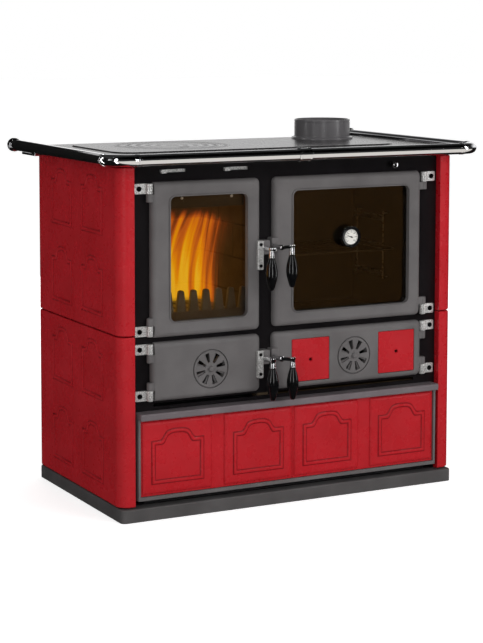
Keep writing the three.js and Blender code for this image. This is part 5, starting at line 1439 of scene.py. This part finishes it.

# ---------------------------------------------------------------- studio
# The floor is a wide white sheet, which keeps a soft shadow under the stove. Three soft lamps stand
# front right, front left and behind. Dark cards that only reflections meet give the chrome and the
# glaze their depth, and a warm glow painted on them for the panes' rear faces gives the panes their brown
# tone.

floor_mesh = bpy.data.meshes.new("floor")
floor_mesh.from_pydata([(-30, -30, 0), (30, -30, 0), (30, 30, 0), (-30, 30, 0)], [], [(0, 1, 2, 3)])
floor = linked("floor", floor_mesh)
floor_paper, tree, shader = finish("floor_paper", Roughness=0.9, Base_color=linear("#F2F2F2"))


def seen_directly(tree):
    """One for camera rays, also through glass, and nothing once a ray has left another surface."""
    path = add(tree, "ShaderNodeLightPath")
    direct = add(tree, "ShaderNodeMath", {"operation": "MAXIMUM"}, {
        0: path.outputs["Is Camera Ray"], 1: path.outputs["Is Transmission Ray"]})
    bounces = add(tree, "ShaderNodeMath", {"operation": "ADD"}, {
        0: path.outputs["Diffuse Depth"], 1: path.outputs["Glossy Depth"]})
    clear = add(tree, "ShaderNodeMath", {"operation": "LESS_THAN"}, {0: bounces.outputs[0], 1: 0.5})
    both = add(tree, "ShaderNodeMath", {"operation": "MULTIPLY"},
               {0: direct.outputs[0], 1: clear.outputs[0]})
    return both.outputs[0], path


direct, path = seen_directly(tree)
white_share = 0.62
share = add(tree, "ShaderNodeMath", {"operation": "MULTIPLY"}, {0: direct, 1: white_share})
white = add(tree, "ShaderNodeEmission", inputs={"Color": (1, 1, 1, 1), "Strength": share.outputs[0]})
lit = add(tree, "ShaderNodeAddShader", inputs={0: shader.outputs[0], 1: white.outputs[0]})
output = next(n for n in tree.nodes if n.type == "OUTPUT_MATERIAL")
tree.links.new(lit.outputs[0], output.inputs[0])
floor_mesh.materials.append(floor_paper)


def only_reflected(obj, through_glass=False):
    """Hides a piece of the set from all rays but reflections, or lets rays in a pane meet it too."""
    for ray in ("camera", "diffuse", "volume_scatter", "shadow"):
        setattr(obj, "visible_" + ray, False)
    obj.visible_transmission = through_glass


def card(name, radius, start, end, foot, top, material, steps=24):
    """A curved card round the set, between two directions in degrees from the x axis."""
    verts = []
    for i in range(steps + 1):
        angle = math.radians(start + (end - start) * i / steps)
        for height in (foot, top):
            verts.append((radius * math.cos(angle), radius * math.sin(angle), height))
    faces = [(2 * i, 2 * i + 2, 2 * i + 3, 2 * i + 1) for i in range(steps)]
    mesh = bpy.data.meshes.new(name)
    mesh.from_pydata(verts, [], faces)
    mesh.materials.append(material)
    obj = linked(name, mesh)
    only_reflected(obj, through_glass=material is card_cloth)
    return obj


# Black cloth. Light that only passes a pane of glass doesn't meet it. A reflection on the rear face
# of a pane meets a glowing warm sheet in its place: a painted reflection that gives the panes their brown
# tone.
card_cloth, tree, shader = finish("card_cloth", Roughness=1.0, Base_color=linear("#141414"))
path = add(tree, "ShaderNodeLightPath")
unreflected = add(tree, "ShaderNodeMath", {"operation": "LESS_THAN"},
                  {0: path.outputs["Glossy Depth"], 1: 0.5})
passing = add(tree, "ShaderNodeMath", {"operation": "MULTIPLY"}, {
    0: path.outputs["Is Transmission Ray"], 1: unreflected.outputs[0]})
clear = add(tree, "ShaderNodeBsdfTransparent")
painted_pane_glow = add(tree, "ShaderNodeEmission", inputs={"Color": linear("#B98E5C"), "Strength": 0.85})
cloth = add(tree, "ShaderNodeMixShader", inputs={
    0: path.outputs["Is Transmission Ray"], 1: shader.outputs[0], 2: painted_pane_glow.outputs[0]})
cloth = add(tree, "ShaderNodeMixShader", inputs={0: passing.outputs[0], 1: cloth.outputs[0],
                                                 2: clear.outputs[0]})
output = next(n for n in tree.nodes if n.type == "OUTPUT_MATERIAL")
tree.links.new(cloth.outputs[0], output.inputs[0])
card("front_card", 1.25, 180, 360, 0.01, 0.9, card_cloth)
card("rear_card", 1.6, 0, 180, 0.01, 0.8, card_cloth)
card("left_rear_card", 1.55, 93, 185, 0.75, 1.56, card_cloth)

mat_half, mat_level = 1.7, 0.002
mat_mesh = bpy.data.meshes.new("floor_mat")
mat_mesh.from_pydata([(-mat_half, -mat_half, mat_level), (mat_half, -mat_half, mat_level),
                      (mat_half, mat_half, mat_level),
                      (-mat_half, mat_half, mat_level)], [], [(0, 1, 2, 3)])
mat_mesh.materials.append(card_cloth)
only_reflected(linked("floor_mat", mat_mesh), through_glass=True)

# A white table under the front of the rail draws the pale stripe on it. It is clear from below.
table_white = bpy.data.materials.new("table_white")
table_white.use_nodes = True
tree = table_white.node_tree
tree.nodes.clear()
side = add(tree, "ShaderNodeNewGeometry")
glow = add(tree, "ShaderNodeEmission", inputs={"Color": linear("#F4EFE8"), "Strength": 0.9})
clear = add(tree, "ShaderNodeBsdfTransparent")
table_white.cycles.emission_sampling = "NONE"
mixed = add(tree, "ShaderNodeMixShader", inputs={0: side.outputs["Backfacing"], 1: glow.outputs[0],
                                                 2: clear.outputs[0]})
add(tree, "ShaderNodeOutputMaterial", inputs={0: mixed.outputs[0]})
table_mesh = bpy.data.meshes.new("rail_table")
table_near, table_far, table_half, table_level = -0.336, -1.2, 0.64, 0.835
table_mesh.from_pydata([(-table_half, table_far, table_level), (table_half, table_far, table_level),
                        (table_half, table_near, table_level), (-table_half, table_near, table_level)],
                       [], [(0, 1, 2, 3)])
table_mesh.materials.append(table_white)
only_reflected(linked("rail_table", table_mesh))


def glowing(name, strength):
    """A lamp's white face, which is found by reflections alone and isn't sampled as a lamp."""
    made = bpy.data.materials.new(name)
    made.use_nodes = True
    made.node_tree.nodes.clear()
    glow = add(made.node_tree, "ShaderNodeEmission", inputs={"Color": (1, 1, 1, 1), "Strength": strength})
    add(made.node_tree, "ShaderNodeOutputMaterial", inputs={0: glow.outputs[0]})
    made.cycles.emission_sampling = "NONE"
    return made


def made_in(name, finishes):
    """The pieces in these finishes, as a collection that a lamp can be kept to."""
    group = bpy.data.collections.new(name)
    for obj in bpy.context.scene.objects:
        if obj.type == "MESH" and any(m in finishes for m in obj.data.materials):
            group.objects.link(obj)
    return group


# Strip lamps draw upright highlights on the metal, the grips and the collar, and on nothing else.
strip_glow = glowing("strip_glow", 6.5)
polished = made_in("polished_pieces", (chrome, zinc, bakelite, collar_paint, bezel_paint))
# A high card in front adds a pale sheen to the upper edges of the painted and glazed pieces.
painted = made_in("painted_pieces", (cast_iron, strip_paint, plinth_paint, body_paint, red_glaze))
sheen = card("sheen", 1.3, 220, 320, 1.5, 2.6, glowing("sheen_glow", 1.6))
sheen.light_linking.receiver_collection = painted
for name, bearing in (("far_left", -108), ("left", -62), ("middle", -12), ("right", 52)):
    centre = bearing - 90
    strip = card(f"strip_{name}", 1.2, centre - 2.5, centre + 2.5, 0.25, 1.3, strip_glow, 4)
    strip.light_linking.receiver_collection = polished

world = bpy.data.worlds.new("studio")
bpy.context.scene.world = world
world.use_nodes = True
tree = world.node_tree
tree.nodes.clear()
way = add(tree, "ShaderNodeTexCoord")
heading = add(tree, "ShaderNodeSeparateXYZ", inputs={0: way.outputs["Generated"]})
sky = spread(tree, heading.outputs["Z"], 1.0, 0.03, 0.26, 0.50)
rear_half = spread(tree, heading.outputs["Y"], 0.03, 1.0, -0.15, 0.15)
gloss_level = add(tree, "ShaderNodeMath", {"operation": "MULTIPLY"}, {0: sky, 1: rear_half})
direct, path = seen_directly(tree)
plain = add(tree, "ShaderNodeBackground", inputs={"Color": (1, 1, 1, 1), "Strength": 0.46})
shown = add(tree, "ShaderNodeBackground", inputs={"Color": (1, 1, 1, 1), "Strength": 1.0})
gloss = add(tree, "ShaderNodeBackground", inputs={"Color": (1, 1, 1, 1),
                                                  "Strength": gloss_level.outputs[0]})
mixed = add(tree, "ShaderNodeMixShader", inputs={
    0: path.outputs["Is Glossy Ray"], 1: plain.outputs[0], 2: gloss.outputs[0]})
mixed = add(tree, "ShaderNodeMixShader", inputs={0: direct, 1: mixed.outputs[0], 2: shown.outputs[0]})
add(tree, "ShaderNodeOutputWorld", inputs={0: mixed.outputs[0]})


def lamp(name, place, aim, size, power, glossy=True):
    """A square soft lamp that points at a place."""
    data = bpy.data.lights.new(name, "AREA")
    data.size = size
    data.energy = power
    obj = linked(name, data)
    obj.location = place
    obj.rotation_euler = (Vector(aim) - Vector(place)).to_track_quat("-Z", "Y").to_euler()
    obj.visible_glossy = glossy
    data.use_nodes = True
    tree = data.node_tree
    path = add(tree, "ShaderNodeLightPath")
    mirrored = add(tree, "ShaderNodeMath", {"operation": "GREATER_THAN"},
                   {0: path.outputs["Glossy Depth"], 1: 0.5})
    hidden = add(tree, "ShaderNodeMath", {"operation": "MULTIPLY"}, {
        0: path.outputs["Is Transmission Ray"], 1: mirrored.outputs[0]})
    level = add(tree, "ShaderNodeMath", {"operation": "SUBTRACT"}, {0: 1.0, 1: hidden.outputs[0]})
    tree.links.new(level.outputs[0], tree.nodes["Emission"].inputs["Strength"])


lamp("key", (1.9, -3.6, 1.45), (0, 0, 0.5), 2.2, 66, False)
lamp("left_fill", (-2.2, -3.4, 1.4), (0, 0, 0.5), 2.0, 40, False)
lamp("rear_fill", (1.2, 3.6, 1.0), (0, 0, 0.5), 2.0, 45, False)

# The camera stands to the left of the stove and a little above it, as in the photograph.
eye = bpy.data.cameras.new("eye")
eye.sensor_fit = "AUTO"
eye.sensor_width = 36
eye.lens = 104.07
eye.shift_y = -0.2
eye.clip_end = 200
camera = linked("eye", eye)
yaw, pitch, roll = (math.radians(a) for a in (27.544, 5.322, 0.068))
ahead = Vector((math.sin(yaw) * math.cos(pitch), math.cos(yaw) * math.cos(pitch), -math.sin(pitch)))
across = Vector((math.cos(yaw), -math.sin(yaw), 0))
above = across.cross(ahead)
turned_across = across * math.cos(roll) + above * math.sin(roll)
turned_above = above * math.cos(roll) - across * math.sin(roll)
camera.matrix_world = Matrix((
    (turned_across.x, turned_above.x, -ahead.x, -2.2051),
    (turned_across.y, turned_above.y, -ahead.y, -4.2086),
    (turned_across.z, turned_above.z, -ahead.z, 1.1888), (0, 0, 0, 1)))
bpy.context.scene.camera = camera
bpy.context.scene.view_settings.view_transform = "Standard"
